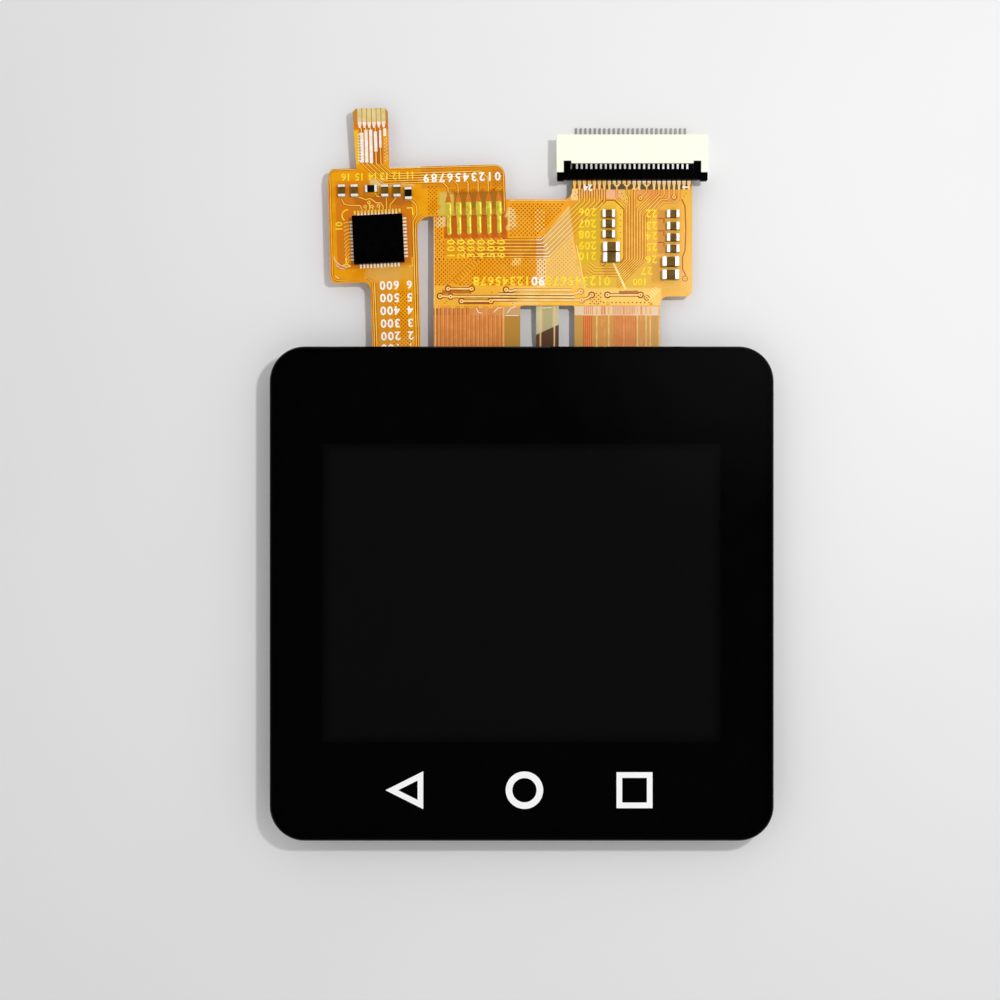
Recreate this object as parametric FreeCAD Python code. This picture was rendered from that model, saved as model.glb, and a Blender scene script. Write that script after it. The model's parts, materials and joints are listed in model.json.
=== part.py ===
import FreeCAD, Part
import math
import os

V = FreeCAD.Vector

# A small colour display with a touch lens, lying on its back.
# Millimetres. X runs across the screen, Y towards the flexes, Z out of the screen.
# The origin is the middle of the screen on the rear face of the metal back cover.

# Cover lens
glass_w = 52.0
glass_h = 51.0
glass_t = 1.0
glass_corner = 3.6
glass_edge_chamfer = 0.12
window_w = 41.3
window_h = 31.0
ink_t = 0.03
ink_inset = 0.15

# Key marks printed under the lens, below the window
mark_y = -20.47
mark_stroke = 0.59
triangle_x = -12.17
triangle_len = 3.93
ring_x = 0.30
ring_r = 1.95
ring_stroke = 0.69
square_x = 11.73
square_side = 3.74

# Touch sensor under the lens
sensor_t = 0.20
sensor_inset = 0.8
sensor_glue_t = 0.10
glue_inset = 0.2

# Liquid crystal cell
cell_side_border = 1.15
cell_low_border = 1.5
cell_high_border = 1.4
ledge_len = 3.4
cell_glass_t = 0.30
cell_gap_t = 0.03
seal_w = 0.7
seal_inset = 0.25
polariser_t = 0.12
polariser_inset = 0.4
panel_tape_t = 0.26
driver_w = 17.0
driver_len = 1.0
driver_t = 0.26
driver_gap = 0.5

# Backlight
pan_t = 0.15
pan_wall_h = 1.10
pan_corner_relief = 1.5
pan_fit = 0.05
reflector_t = 0.10
guide_t = 0.45
diffuser_t = 0.06
prism_t = 0.06
rim_tape_t = 0.06
sheet_fit = 0.1
film_step = 0.25
frame_shelf = 0.7
frame_side_wall = 1.0
frame_end_wall = 0.6
cell_fit = 0.1
lip_below_glass = 0.06
latch_len = 2.8
latch_h = 0.30
latch_out = 0.12
latch_z = 0.50
latch_window_fit = 0.1
led_count = 4
led_pitch = 10.0
led_w = 3.8
led_len = 1.0
led_h = 0.40
led_fit = 0.05
lug_len = 0.5
strip_margin = 1.3
strip_back = 0.45

# Backlight tail, the narrow strip between the two display tails
backlight_flex_t = 0.10
backlight_tail_x = 2.73
backlight_tail_w = 2.38
backlight_tail_lap = 1.3
tail_notch_fit = 0.14

# Display flex: heights and outline, with places along Y taken from the lens's edge
flex_t = 0.12
flex_z = 1.28
bond_len = 1.4
flex_left = -9.18
flex_right = 17.84
left_tail_right = -0.12
right_tail_left = 5.55
right_tail_right = 14.52
tail_len = 4.5
right_step = 0.94
body_top = 15.60
tongue_left = 5.30
tongue_fillet = 0.9
step_fillet = 0.85
flex_corner = 0.6
crotch_fillet = 0.3
display_bend_start = 0.3
display_bend_len = 2.0

# Chip capacitors on the display flex: x, distance above the lens's edge
small_cap_left = [(9.10, 14.05), (9.10, 13.00), (9.10, 11.90)]
small_cap_right = [(15.82, 14.02), (15.82, 12.75), (15.82, 11.56), (15.82, 10.39)]
large_cap_left = [(9.37, 10.56), (9.37, 9.46)]
large_cap_right = [(15.55, 9.02), (15.55, 7.66)]
small_cap_size = (1.30, 0.76, 0.55)
large_cap_size = (1.75, 0.94, 0.70)
terminal_share = 0.24
terminal_proud = 0.02
terminal_chamfer = 0.05

# Touch flex, in its own axes: it leans, and its zero is on the lens's edge
touch_lean = 1.6
touch_zero_x = -13.0
touch_flex_t = 0.12
touch_over_display = 0.04
touch_bond_len = 1.4
touch_bond_gap = 0.1
touch_bend_len = 2.6
neck_left = -2.55
neck_right = 2.48
board_left = -6.72
board_low = 6.98
board_high = 18.82
board_corner = 1.1
arm_right = 11.8
arm_low = 13.68
arm_fillet = 1.3
arm_corner = 1.35
tail_right = -0.27
tail_base_w = 3.44
tail_tip_w = 3.68
touch_tail_len = 6.32
tail_chamfer = 0.35
tail_stiffener_len = 3.6
tail_stiffener_t = 0.15
finger_count = 6
finger_pitch = 0.5
finger_w = 0.42
finger_len = 1.4
finger_t = 0.025

# Touch controller and its small parts, in the touch flex's axes
chip_x = -1.60
chip_y = 11.39
chip_turn = 1.2
chip_w = 5.22
chip_l = 4.98
chip_t = 0.75
chip_edge = 0.06
pad_count = 12
pad_pitch = 0.36
pad_w = 0.20
pad_out = 0.33
right_pad_out = 0.38
right_pad_rise = 0.12
pad_under = 0.15
pad_t = 0.04
touch_caps = [(-5.28, 16.55), (-3.94, 16.52), (-0.79, 16.43), (0.49, 16.39)]
touch_cap_size = (1.23, 0.72, 0.50)
touch_terminal_share = 0.20
touch_resistors = [(-2.235, 16.70, 0.0), (1.65, 16.12, 90.0)]
touch_resistor_size = (1.25, 0.72, 0.35)

# Solder joints between the touch flex's arm and the display flex
joint_count = 6
joint_pitch = 1.05
joint_first_x = 5.80
joint_upper_w = 0.60
joint_lower_w = 0.46
joint_on_arm = 1.43
joint_on_display = 1.97
joint_crown = 0.08
joint_facets = 6
joint_slope_len = 0.30

# Connector: a slider-locked flex connector with stamped contacts
contact_count = 24
contact_pitch = 0.5
contact_w = 0.20
housing_x = 11.535
housing_w = 15.73
housing_low = 18.26
housing_len = 3.89
housing_h = 2.25
roof_setback = 0.93
roof_t = 0.31
floor_t = 0.25
rear_wall = 0.65
side_wall = 0.71
stiffener_t = 0.20
stiffener_len = 5.0
tongue_insert = 2.44
flex_side_fit = 0.08
slot_fit = 0.04
contact_slot_fit = 0.03
rear_slot_h = 0.30
spine_setback = 0.25
spine_len = 0.40
beam_t = 0.18
beam_tip = 0.36
foot_len = 1.20
foot_t = 0.18
bump_y = 1.30
bump_len = 0.20
wedge_t = 0.34
wedge_len = 1.80
slider_front = 0.71
slider_bar_len = 1.05
frame_setback = 0.35
slider_top_gap = 0.13
grip_w = 0.71
grip_front = 0.85
grip_round = 0.12
grip_low = 1.55
tab_w = 0.72
tab_len = 0.81
comb_len = 1.20
notch_w = 0.30
arm_w = 0.40
arm_len = 2.10
arm_h = 0.80
hook_out = 0.12
hook_len = 0.35
slider_travel = 1.2
stop_fit = 0.05
guide_rib_w = 0.17
anchor_t = 0.20
anchor_len = 1.6
anchor_rise = 1.1
anchor_foot_t = 0.12
anchor_inset = 0.28
anchor_fit = 0.02

# Heights of the stack, from the rear face up
reflector_z = pan_t
guide_z = reflector_z + reflector_t
diffuser_z = guide_z + guide_t
lower_prism_z = diffuser_z + diffuser_t
upper_prism_z = lower_prism_z + prism_t
shelf_z = upper_prism_z + prism_t
rear_polariser_z = shelf_z + rim_tape_t
array_z = rear_polariser_z + polariser_t
array_top = array_z + cell_glass_t
filter_z = array_top + cell_gap_t
front_polariser_z = filter_z + cell_glass_t
panel_tape_z = front_polariser_z + polariser_t
sensor_z = panel_tape_z + panel_tape_t
sensor_glue_z = sensor_z + sensor_t
ink_z = sensor_glue_z + sensor_glue_t
glass_z = ink_z + ink_t

# Places in plan
edge_y = glass_h / 2
cell_x = window_w / 2 + cell_side_border
cell_low_y = -window_h / 2 - cell_low_border
cell_high_y = window_h / 2 + cell_high_border
array_high_y = cell_high_y + ledge_len
pocket_x = cell_x + cell_fit
pocket_low_y = cell_low_y - cell_fit
pocket_high_y = array_high_y + cell_fit
frame_x = pocket_x + frame_side_wall
frame_low_y = pocket_low_y - frame_end_wall
frame_high_y = pocket_high_y + frame_end_wall
cavity_x = pocket_x - frame_shelf
cavity_low_y = pocket_low_y + frame_shelf
cavity_high_y = pocket_high_y - frame_shelf / 2
pan_x = frame_x + pan_fit + pan_t
pan_low_y = frame_low_y - pan_fit - pan_t
pan_high_y = frame_high_y + pan_fit + pan_t
led_back_y = cavity_high_y - strip_back
guide_high_y = led_back_y - led_len - led_fit
touch_z = flex_z + flex_t + touch_over_display
touch_top = touch_z + touch_flex_t
display_top = flex_z + flex_t


def corner_join(before, corner, after, radius):
    """Start, middle and end of the arc that rounds one corner; a sharp corner has no middle."""
    if radius <= 0:
        return corner, None, corner
    to_before = (before - corner).normalize()
    to_after = (after - corner).normalize()
    half = to_before.getAngle(to_after) / 2
    reach = radius / math.tan(half)
    inward = (to_before + to_after).normalize()
    middle = corner + inward * (radius / math.sin(half) - radius)
    return corner + to_before * reach, middle, corner + to_after * reach


def outline_face(corners, z):
    """A flat face at height z from corners of (x, y, radius)."""
    points = [V(x, y, z) for x, y, _ in corners]
    last = len(points) - 1
    joins = []
    for i, point in enumerate(points):
        after = points[0] if i == last else points[i + 1]
        joins.append(corner_join(points[i - 1], point, after, corners[i][2]))
    edges = []
    for i, (start, middle, end) in enumerate(joins):
        if middle is not None:
            edges.append(Part.Arc(start, middle, end).toShape())
        following = joins[0][0] if i == last else joins[i + 1][0]
        if end.distanceToPoint(following) > 1e-6:
            edges.append(Part.makeLine(end, following))
    return Part.Face(Part.Wire(edges))


def plate(corners, z, thickness):
    """A flat plate with rounded corners."""
    return outline_face(corners, z).extrude(V(0, 0, thickness))


def rectangle(x0, x1, y0, y1, radius=0.0):
    """The corners of a rectangle, all with one radius."""
    return [(x0, y0, radius), (x1, y0, radius), (x1, y1, radius), (x0, y1, radius)]


def slab(x0, x1, y0, y1, z0, z1):
    """A box given by its limits."""
    return Part.makeBox(x1 - x0, y1 - y0, z1 - z0, V(x0, y0, z0))


def fused(shapes):
    """One solid from shapes that touch or overlap."""
    return shapes[0].multiFuse(shapes[1:]).removeSplitter()


def group(shapes):
    """Separate solids in one node."""
    return Part.makeCompound(shapes)


def centred(count, pitch):
    """Offsets of a row that is centred on zero."""
    return [(i - (count - 1) / 2) * pitch for i in range(count)]


def side_profile(points, x0, x1):
    """A solid from a polygon of (y, z) points, between two places along X."""
    corners = [V(x0, y, z) for y, z in points]
    return Part.Face(Part.makePolygon(corners + corners[:1])).extrude(V(x1 - x0, 0, 0))


def bend_edges(x, y0, z0, y1, z1):
    """Two arcs that lead from one level to another and leave both level."""
    run = (y1 - y0) / 2
    rise = (z1 - z0) / 2
    radius = (run ** 2 + rise ** 2) / (2 * abs(rise))
    turn = math.asin(run / radius) / 2
    across = radius * math.sin(turn)
    lift = math.copysign(radius * (1 - math.cos(turn)), rise)
    middle = V(x, y0 + run, z0 + rise)
    first = Part.Arc(V(x, y0, z0), V(x, y0 + across, z0 + lift), middle)
    second = Part.Arc(middle, V(x, y1 - across, z1 - lift), V(x, y1, z1))
    return [first.toShape(), second.toShape()]


def ribbon(x0, x1, start, bend_start, bend_end, end, z0, z1, thickness):
    """A band that lies level, bends once to a new level and runs on."""
    lower = [Part.makeLine(V(x0, start, z0), V(x0, bend_start, z0))]
    lower += bend_edges(x0, bend_start, z0, bend_end, z1)
    lower += [Part.makeLine(V(x0, bend_end, z1), V(x0, end, z1))]
    upper = [edge.translated(V(0, 0, thickness)) for edge in lower]
    front = Part.makeLine(V(x0, start, z0), V(x0, start, z0 + thickness))
    back = Part.makeLine(V(x0, end, z1), V(x0, end, z1 + thickness))
    wire = Part.Wire(Part.__sortEdges__(lower + [back] + upper + [front]))
    return Part.Face(wire).extrude(V(x1 - x0, 0, 0))


def cut_to_outline(band, corners):
    """The part of a bent band that lies inside an outline seen from above."""
    box = band.BoundBox
    prism = plate(corners, box.ZMin - 1, box.ZLength + 2)
    return band.common(prism).removeSplitter()


def ring(outer, inner, z, thickness):
    """A flat frame between two outlines."""
    return plate(outer, z, thickness).cut(plate(inner, z, thickness))


def window_corners(margin):
    """The screen's window, grown by a margin."""
    x = window_w / 2 + margin
    y = window_h / 2 + margin
    return rectangle(-x, x, -y, y)


def lens_corners(inset):
    """The lens's outline, drawn in by an inset."""
    x = glass_w / 2 - inset
    y = glass_h / 2 - inset
    return rectangle(-x, x, -y, y, glass_corner - inset)


def cover_glass():
    """The lens, with a small ground chamfer round its front edge."""
    lens = plate(lens_corners(0), glass_z, glass_t)
    top = glass_z + glass_t
    front_edges = [e for e in lens.Edges if min(v.Z for v in e.Vertexes) > top - 1e-6]
    return lens.makeChamfer(glass_edge_chamfer, front_edges)


def triangle_mark(z, thickness):
    """The left-pointing triangle, as an outline of even stroke."""
    tip_x = triangle_x - triangle_len / 2
    base_x = triangle_x + triangle_len / 2
    half = triangle_len / 2
    tip_half_angle = math.atan2(half, triangle_len)
    inner_tip = tip_x + mark_stroke / math.sin(tip_half_angle)
    inner_base = base_x - mark_stroke
    inner_half = (inner_base - inner_tip) * math.tan(tip_half_angle)
    outer = [(tip_x, mark_y, 0), (base_x, mark_y - half, 0), (base_x, mark_y + half, 0)]
    inner = [(inner_tip, mark_y, 0), (inner_base, mark_y - inner_half, 0)]
    inner += [(inner_base, mark_y + inner_half, 0)]
    return ring(outer, inner, z, thickness)


def ring_mark(z, thickness):
    """The round mark."""
    middle = V(ring_x, mark_y, z)
    disc = Part.makeCylinder(ring_r, thickness, middle)
    return disc.cut(Part.makeCylinder(ring_r - ring_stroke, thickness, middle))


def square_mark(z, thickness):
    """The square mark."""
    half = square_side / 2
    inner = half - mark_stroke
    outside = rectangle(square_x - half, square_x + half, mark_y - half, mark_y + half)
    inside = rectangle(square_x - inner, square_x + inner, mark_y - inner, mark_y + inner)
    return ring(outside, inside, z, thickness)


def key_marks():
    """The three printed key marks."""
    return [triangle_mark(ink_z, ink_t), ring_mark(ink_z, ink_t), square_mark(ink_z, ink_t)]


def ink_border():
    """The black print behind the lens, open at the window and at the marks."""
    border = ring(lens_corners(ink_inset), window_corners(0), ink_z, ink_t)
    return border.cut(group(key_marks()))


def sensor_adhesive():
    """Clear glue between sensor and lens, which also fills the window's step in the ink."""
    sheet = plate(lens_corners(sensor_inset + glue_inset), sensor_glue_z, sensor_glue_t)
    fill = plate(window_corners(0), ink_z, ink_t)
    return fused([sheet, fill])


def cell_sheet(inset, high_y, z, thickness):
    """A sheet of the cell, drawn in from the glass edges."""
    x = cell_x - inset
    return plate(rectangle(-x, x, cell_low_y + inset, high_y - inset), z, thickness)


def cell_seal():
    """The glue frame that holds the two glasses together."""
    outer = cell_x - seal_inset
    inner = outer - seal_w
    low = cell_low_y + seal_inset
    high = cell_high_y - seal_inset
    outside = rectangle(-outer, outer, low, high)
    inside = rectangle(-inner, inner, low + seal_w, high - seal_w)
    return ring(outside, inside, array_top, cell_gap_t)


def panel_tape():
    """The foam tape between the display and the touch sensor."""
    x = cell_x - polariser_inset
    outside = rectangle(-x, x, cell_low_y + polariser_inset, cell_high_y - polariser_inset)
    return ring(outside, window_corners(0), panel_tape_z, panel_tape_t)


def driver_chip():
    """The long, thin driver chip on the ledge of the rear glass."""
    y = cell_high_y + driver_gap
    return slab(-driver_w / 2, driver_w / 2, y, y + driver_len, array_top, array_top + driver_t)


def rim_tape():
    """The black tape that holds the display on its backlight."""
    outside = rectangle(-cell_x, cell_x, cell_low_y, array_high_y)
    return ring(outside, window_corners(film_step), shelf_z, rim_tape_t)


def optical_film(step, z, thickness):
    """One film of the backlight; each lies inside the one below it."""
    x = cavity_x - sheet_fit - step
    low = cavity_low_y + sheet_fit + step
    return plate(rectangle(-x, x, low, guide_high_y - step), z, thickness)


def light_guide():
    """The clear guide plate, with lugs that stand between the lamps."""
    x = cavity_x - sheet_fit
    body = slab(-x, x, cavity_low_y + sheet_fit, guide_high_y + lug_len, guide_z, diffuser_z)
    reach = led_w / 2 + led_fit
    for offset in centred(led_count, led_pitch):
        body = body.cut(slab(offset - reach, offset + reach, guide_high_y, guide_high_y + lug_len,
                             guide_z, diffuser_z))
    return body


def reflector():
    """The white sheet under the light guide."""
    x = cavity_x - sheet_fit
    high = guide_high_y - led_fit
    return slab(-x, x, cavity_low_y + sheet_fit, high, reflector_z, guide_z)


def backlight_lamps():
    """The row of side-firing lamps."""
    lamps = []
    z = reflector_z + backlight_flex_t
    for offset in centred(led_count, led_pitch):
        lamps.append(slab(offset - led_w / 2, offset + led_w / 2, led_back_y - led_len, led_back_y,
                          z, z + led_h))
    return group(lamps)


def backlight_flex():
    """The lamp strip and its narrow tail, which rises to the display flex."""
    tail_left = backlight_tail_x - backlight_tail_w / 2
    tail_right_x = tail_left + backlight_tail_w
    strip_x = (led_count - 1) * led_pitch / 2 + led_w / 2 + strip_margin
    low = guide_high_y
    high = cavity_high_y - sheet_fit
    end = edge_y + tail_len + backlight_tail_lap
    z_high = flex_z - backlight_flex_t - 0.5 * touch_over_display
    band = ribbon(-strip_x, strip_x, low, pan_high_y + crotch_fillet, edge_y + tail_len - 1,
                  end, reflector_z, z_high, backlight_flex_t)
    corners = [(-strip_x, low, 0), (strip_x, low, 0), (strip_x, high, 0)]
    corners += [(tail_right_x, high, crotch_fillet), (tail_right_x, end, 0)]
    corners += [(tail_left, end, 0), (tail_left, high, crotch_fillet), (-strip_x, high, 0)]
    return cut_to_outline(band, corners)


def latch_places():
    """Middle of each latch: side sign and place along Y."""
    middle = (frame_low_y + frame_high_y) / 2
    third = (frame_high_y - frame_low_y) / 3
    return [(side, middle + shift) for side in (-1, 1) for shift in (-third, 0, third)]


def latch(side, y, reach, half_len, z0, z1):
    """A block that stands out of the frame's side."""
    inner = side * (frame_x - frame_side_wall / 2)
    outer = side * (frame_x + reach)
    return slab(min(inner, outer), max(inner, outer), y - half_len, y + half_len, z0, z1)


def tail_notch(z0, z1):
    """The way out for the backlight's tail through frame and back cover."""
    reach = backlight_tail_w / 2 + tail_notch_fit
    return slab(backlight_tail_x - reach, backlight_tail_x + reach, cavity_high_y - frame_shelf,
                pan_high_y + frame_end_wall, z0, z1)


def backlight_frame():
    """The white moulded frame, with a shelf for the films, a lip round the glass and latches."""
    top = array_top - lip_below_glass
    body = plate(rectangle(-frame_x, frame_x, frame_low_y, frame_high_y, frame_end_wall),
                 pan_t, top - pan_t)
    cavity = slab(-cavity_x, cavity_x, cavity_low_y, cavity_high_y, pan_t, top)
    pocket = slab(-pocket_x, pocket_x, pocket_low_y, pocket_high_y, shelf_z, top)
    body = body.cut(fused([cavity, pocket]))
    body = body.cut(tail_notch(pan_t, top))
    latches = [latch(side, y, latch_out, latch_len / 2, latch_z, latch_z + latch_h)
               for side, y in latch_places()]
    return fused([body] + latches)


def back_cover():
    """The folded sheet-metal cover, with open corners and windows for the latches."""
    shell = slab(-pan_x, pan_x, pan_low_y, pan_high_y, 0, pan_wall_h)
    inside = slab(-pan_x + pan_t, pan_x - pan_t, pan_low_y + pan_t, pan_high_y - pan_t,
                  pan_t, pan_wall_h)
    shell = shell.cut(inside)
    for x in (-pan_x, pan_x - pan_corner_relief):
        for y in (pan_low_y, pan_high_y - pan_corner_relief):
            shell = shell.cut(slab(x, x + pan_corner_relief, y, y + pan_corner_relief,
                                   pan_t, pan_wall_h))
    for side, y in latch_places():
        shell = shell.cut(latch(side, y, pan_fit + pan_t, latch_len / 2 + latch_window_fit,
                                latch_z - latch_window_fit, latch_z + latch_h + latch_window_fit))
    return shell.cut(tail_notch(pan_t, pan_wall_h))


def display_flex():
    """The main flex: two bonded tails, the board with its parts, and the plug-in tongue."""
    body_low = edge_y + tail_len
    step_low = body_low + right_step
    board_top = edge_y + body_top
    tip = edge_y + housing_low + tongue_insert
    bond = array_high_y - bond_len
    corners = [(flex_left, bond, 0), (left_tail_right, bond, 0)]
    corners += [(left_tail_right, body_low, crotch_fillet), (right_tail_left, body_low, crotch_fillet)]
    corners += [(right_tail_left, bond, 0), (right_tail_right, bond, 0)]
    corners += [(right_tail_right, step_low, step_fillet), (flex_right, step_low, flex_corner)]
    corners += [(flex_right, tip, 0), (tongue_left, tip, 0)]
    corners += [(tongue_left, board_top, tongue_fillet), (flex_left, board_top, crotch_fillet)]
    bend = pan_high_y + display_bend_start
    band = ribbon(flex_left, flex_right, bond, bend, bend + display_bend_len, tip,
                  array_top, flex_z, flex_t)
    return cut_to_outline(band, corners)


def flex_stiffener():
    """The stiff backing under the plug-in tongue."""
    tip = edge_y + housing_low + tongue_insert
    return slab(tongue_left, flex_right, tip - stiffener_len, tip, flex_z - stiffener_t, flex_z)


def chip_part_body(size, z, share=terminal_share):
    """The body of a small chip part, between its end terminals, centred on zero."""
    length, width, height = size
    half = length * (0.5 - share)
    side = width / 2 - terminal_proud
    return slab(-half, half, -side, side, z + terminal_proud, z + height - terminal_proud)


def chip_part_terminals(size, z, share=terminal_share):
    """The two end terminals of a small chip part, with their end faces' edges eased."""
    length, width, height = size
    inner = length * (0.5 - share)
    ends = []
    for side in (-1, 1):
        outer = side * length / 2
        block = slab(min(outer, side * inner), max(outer, side * inner), -width / 2, width / 2,
                     z, z + height)
        rim = [e for e in block.Edges if all(abs(v.X - outer) < 1e-6 for v in e.Vertexes)]
        ends.append(block.makeChamfer(terminal_chamfer, rim))
    return ends


def moved(shape, x, y, turn=0.0):
    """A copy that is turned about Z and then shifted."""
    copy = shape.copy()
    copy.rotate(V(0, 0, 0), V(0, 0, 1), turn)
    copy.translate(V(x, y, 0))
    return copy


def capacitor_bodies(places, size):
    """Bodies of the display flex's capacitors."""
    body = chip_part_body(size, display_top)
    return group([moved(body, x, edge_y + y) for x, y in places])


def capacitor_terminals(places, size):
    """Terminals of the display flex's capacitors."""
    ends = chip_part_terminals(size, display_top)
    return group([moved(end, x, edge_y + y) for x, y in places for end in ends])


def on_touch_flex(shape):
    """Takes a shape from the touch flex's axes to the part's."""
    return moved(shape, touch_zero_x, edge_y, touch_lean)


def touch_flex():
    """The touch flex: bonded neck, board with the controller, side arm and finger tail."""
    bond_end = -sensor_inset - touch_bond_gap
    bond = bond_end - touch_bond_len
    tail_high = board_high + touch_tail_len
    tip_left = tail_right - tail_tip_w
    corners = [(neck_left, bond, 0), (neck_right, bond, 0), (neck_right, arm_low, arm_fillet)]
    corners += [(arm_right, arm_low, 0), (arm_right, board_high, arm_corner)]
    corners += [(tail_right, board_high, 0), (tail_right, tail_high - tail_chamfer, 0)]
    corners += [(tail_right - tail_chamfer, tail_high, 0), (tip_left + tail_chamfer, tail_high, 0)]
    corners += [(tip_left, tail_high - tail_chamfer, 0), (tail_right - tail_base_w, board_high, 0)]
    corners += [(board_left, board_high, board_corner), (board_left, board_low, flex_corner)]
    corners += [(neck_left, board_low, step_fillet)]
    band = ribbon(board_left, arm_right, bond, bond_end, bond_end + touch_bend_len, tail_high,
                  sensor_z - touch_flex_t, touch_z, touch_flex_t)
    return on_touch_flex(cut_to_outline(band, corners))


def tail_stiffener():
    """The stiff backing under the finger tail."""
    high = board_high + touch_tail_len
    low = high - tail_stiffener_len
    left = tail_right - tail_base_w
    corners = [(left, low, 0), (tail_right, low, 0), (tail_right, high - tail_chamfer, 0)]
    corners += [(tail_right - tail_chamfer, high, 0), (left + tail_chamfer, high, 0)]
    corners += [(left, high - tail_chamfer, 0)]
    return on_touch_flex(plate(corners, touch_z - tail_stiffener_t, tail_stiffener_t))


def tail_fingers():
    """The gilt contact fingers at the tail's tip."""
    middle = tail_right - tail_base_w / 2
    high = board_high + touch_tail_len
    fingers = []
    for offset in centred(finger_count, finger_pitch):
        x = middle + offset
        fingers.append(slab(x - finger_w / 2, x + finger_w / 2, high - finger_len, high,
                            touch_top, touch_top + finger_t))
    return on_touch_flex(group(fingers))


def on_chip(shape):
    """Takes a shape from the controller's middle to the part's axes."""
    return on_touch_flex(moved(shape, chip_x, chip_y, chip_turn))


def touch_chip():
    """The leadless controller, with its top edge eased."""
    z = touch_top + pad_t
    body = slab(-chip_w / 2, chip_w / 2, -chip_l / 2, chip_l / 2, z, z + chip_t)
    top_edges = [e for e in body.Edges if min(v.Z for v in e.Vertexes) > z + chip_t - 1e-6]
    return on_chip(body.makeChamfer(chip_edge, top_edges))


def touch_chip_pads():
    """The controller's soldered pads, which show all round it."""
    rows = ((0, chip_l / 2, pad_out, 0), (90, chip_w / 2, pad_out, 0), (180, chip_l / 2, pad_out, 0),
            (270, chip_w / 2, right_pad_out, right_pad_rise))
    pads = []
    for turn, edge, out, rise in rows:
        for offset in centred(pad_count, pad_pitch):
            pad = slab(offset - pad_w / 2, offset + pad_w / 2, edge - pad_under, edge + out,
                       touch_top, touch_top + pad_t)
            pads.append(moved(moved(pad, 0, 0, turn), 0, rise))
    return on_chip(group(pads))


def touch_capacitor_bodies():
    """Bodies of the touch flex's capacitors, which stand across the board."""
    body = chip_part_body(touch_cap_size, touch_top, touch_terminal_share)
    return on_touch_flex(group([moved(body, x, y, 90) for x, y in touch_caps]))


def touch_resistor_bodies():
    """Bodies of the touch flex's resistors."""
    body = chip_part_body(touch_resistor_size, touch_top, touch_terminal_share)
    return on_touch_flex(group([moved(body, x, y, turn) for x, y, turn in touch_resistors]))


def touch_part_terminals():
    """End terminals of all small parts on the touch flex."""
    ends = []
    for end in chip_part_terminals(touch_cap_size, touch_top, touch_terminal_share):
        ends += [moved(end, x, y, 90) for x, y in touch_caps]
    for end in chip_part_terminals(touch_resistor_size, touch_top, touch_terminal_share):
        ends += [moved(end, x, y, turn) for x, y, turn in touch_resistors]
    return on_touch_flex(group(ends))


def solder_bead(width, y0, y1, z):
    """A bead of solder along Y with a flat foot and a low, domed back."""
    points = []
    for i in range(joint_facets + 1):
        angle = math.pi * i / joint_facets
        points.append(V(width / 2 * math.cos(angle), y0, z + joint_crown * math.sin(angle)))
    return Part.Face(Part.makePolygon(points + points[:1])).extrude(V(0, y1 - y0, 0))


def solder_joints():
    """Solder that runs from the arm's pads over its edge on to the display flex."""
    upper = solder_bead(joint_upper_w, arm_low, arm_low + joint_on_arm, touch_top)
    lower = solder_bead(joint_lower_w, arm_low - joint_on_display, arm_low, display_top)
    half = joint_lower_w / 3
    slope = side_profile([(arm_low, display_top), (arm_low, touch_top + joint_crown / 2),
                          (arm_low - joint_slope_len, display_top)], -half, half)
    joint = fused([upper, lower, slope])
    joints = [moved(joint, joint_first_x + joint_pitch * i, 0) for i in range(joint_count)]
    return on_touch_flex(group(joints))


# Connector: places that its pieces share
ears_y = edge_y + housing_low
rear_y = ears_y + housing_len
roof_y = ears_y + roof_setback
housing_left = housing_x - housing_w / 2
housing_right = housing_x + housing_w / 2
inner_left = housing_left + side_wall
inner_right = housing_right - side_wall
roof_z = housing_h - roof_t
slot_left = tongue_left - flex_side_fit
slot_right = flex_right + flex_side_fit
bar_low_y = ears_y - slider_front
bar_high_y = bar_low_y + slider_bar_len
slider_top = housing_h - slider_top_gap
window_low_z = flex_z - stiffener_t - slot_fit
window_high_z = display_top + slot_fit
beam_top = roof_z - 2 * slot_fit
contact_xs = [housing_x + offset for offset in centred(contact_count, contact_pitch)]
arm_high_z = window_low_z + arm_h / 2
arm_low_z = arm_high_z - arm_h
hook_front_y = bar_high_y + arm_len - hook_len
stop_y = hook_front_y - slider_travel - stop_fit


def anchor_recesses():
    """Slots in the housing's sides for its two solder anchors."""
    cuts = []
    low = roof_y - anchor_fit
    high = roof_y + anchor_len + anchor_fit
    for side, wall in ((1, housing_left), (-1, housing_right)):
        blade = wall + side * (anchor_inset - anchor_fit)
        deep = wall + side * (anchor_inset + anchor_t + anchor_fit)
        cuts.append(slab(min(blade, deep), max(blade, deep), low, high,
                         0, anchor_foot_t + anchor_rise + anchor_fit))
        cuts.append(slab(min(wall, deep), max(wall, deep), low, high,
                         0, anchor_foot_t + anchor_fit))
    return cuts


def anchor_tabs():
    """The two bent solder anchors under the housing's ends."""
    tabs = []
    for side, wall in ((1, housing_left), (-1, housing_right)):
        blade = wall + side * anchor_inset
        deep = wall + side * (anchor_inset + anchor_t)
        foot = wall + side * anchor_fit
        rise = slab(min(blade, deep), max(blade, deep), roof_y, roof_y + anchor_len,
                    0, anchor_foot_t + anchor_rise)
        lap = slab(min(foot, deep), max(foot, deep), roof_y, roof_y + anchor_len,
                   0, anchor_foot_t)
        tabs.append(fused([rise, lap]))
    return group(tabs)


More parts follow.
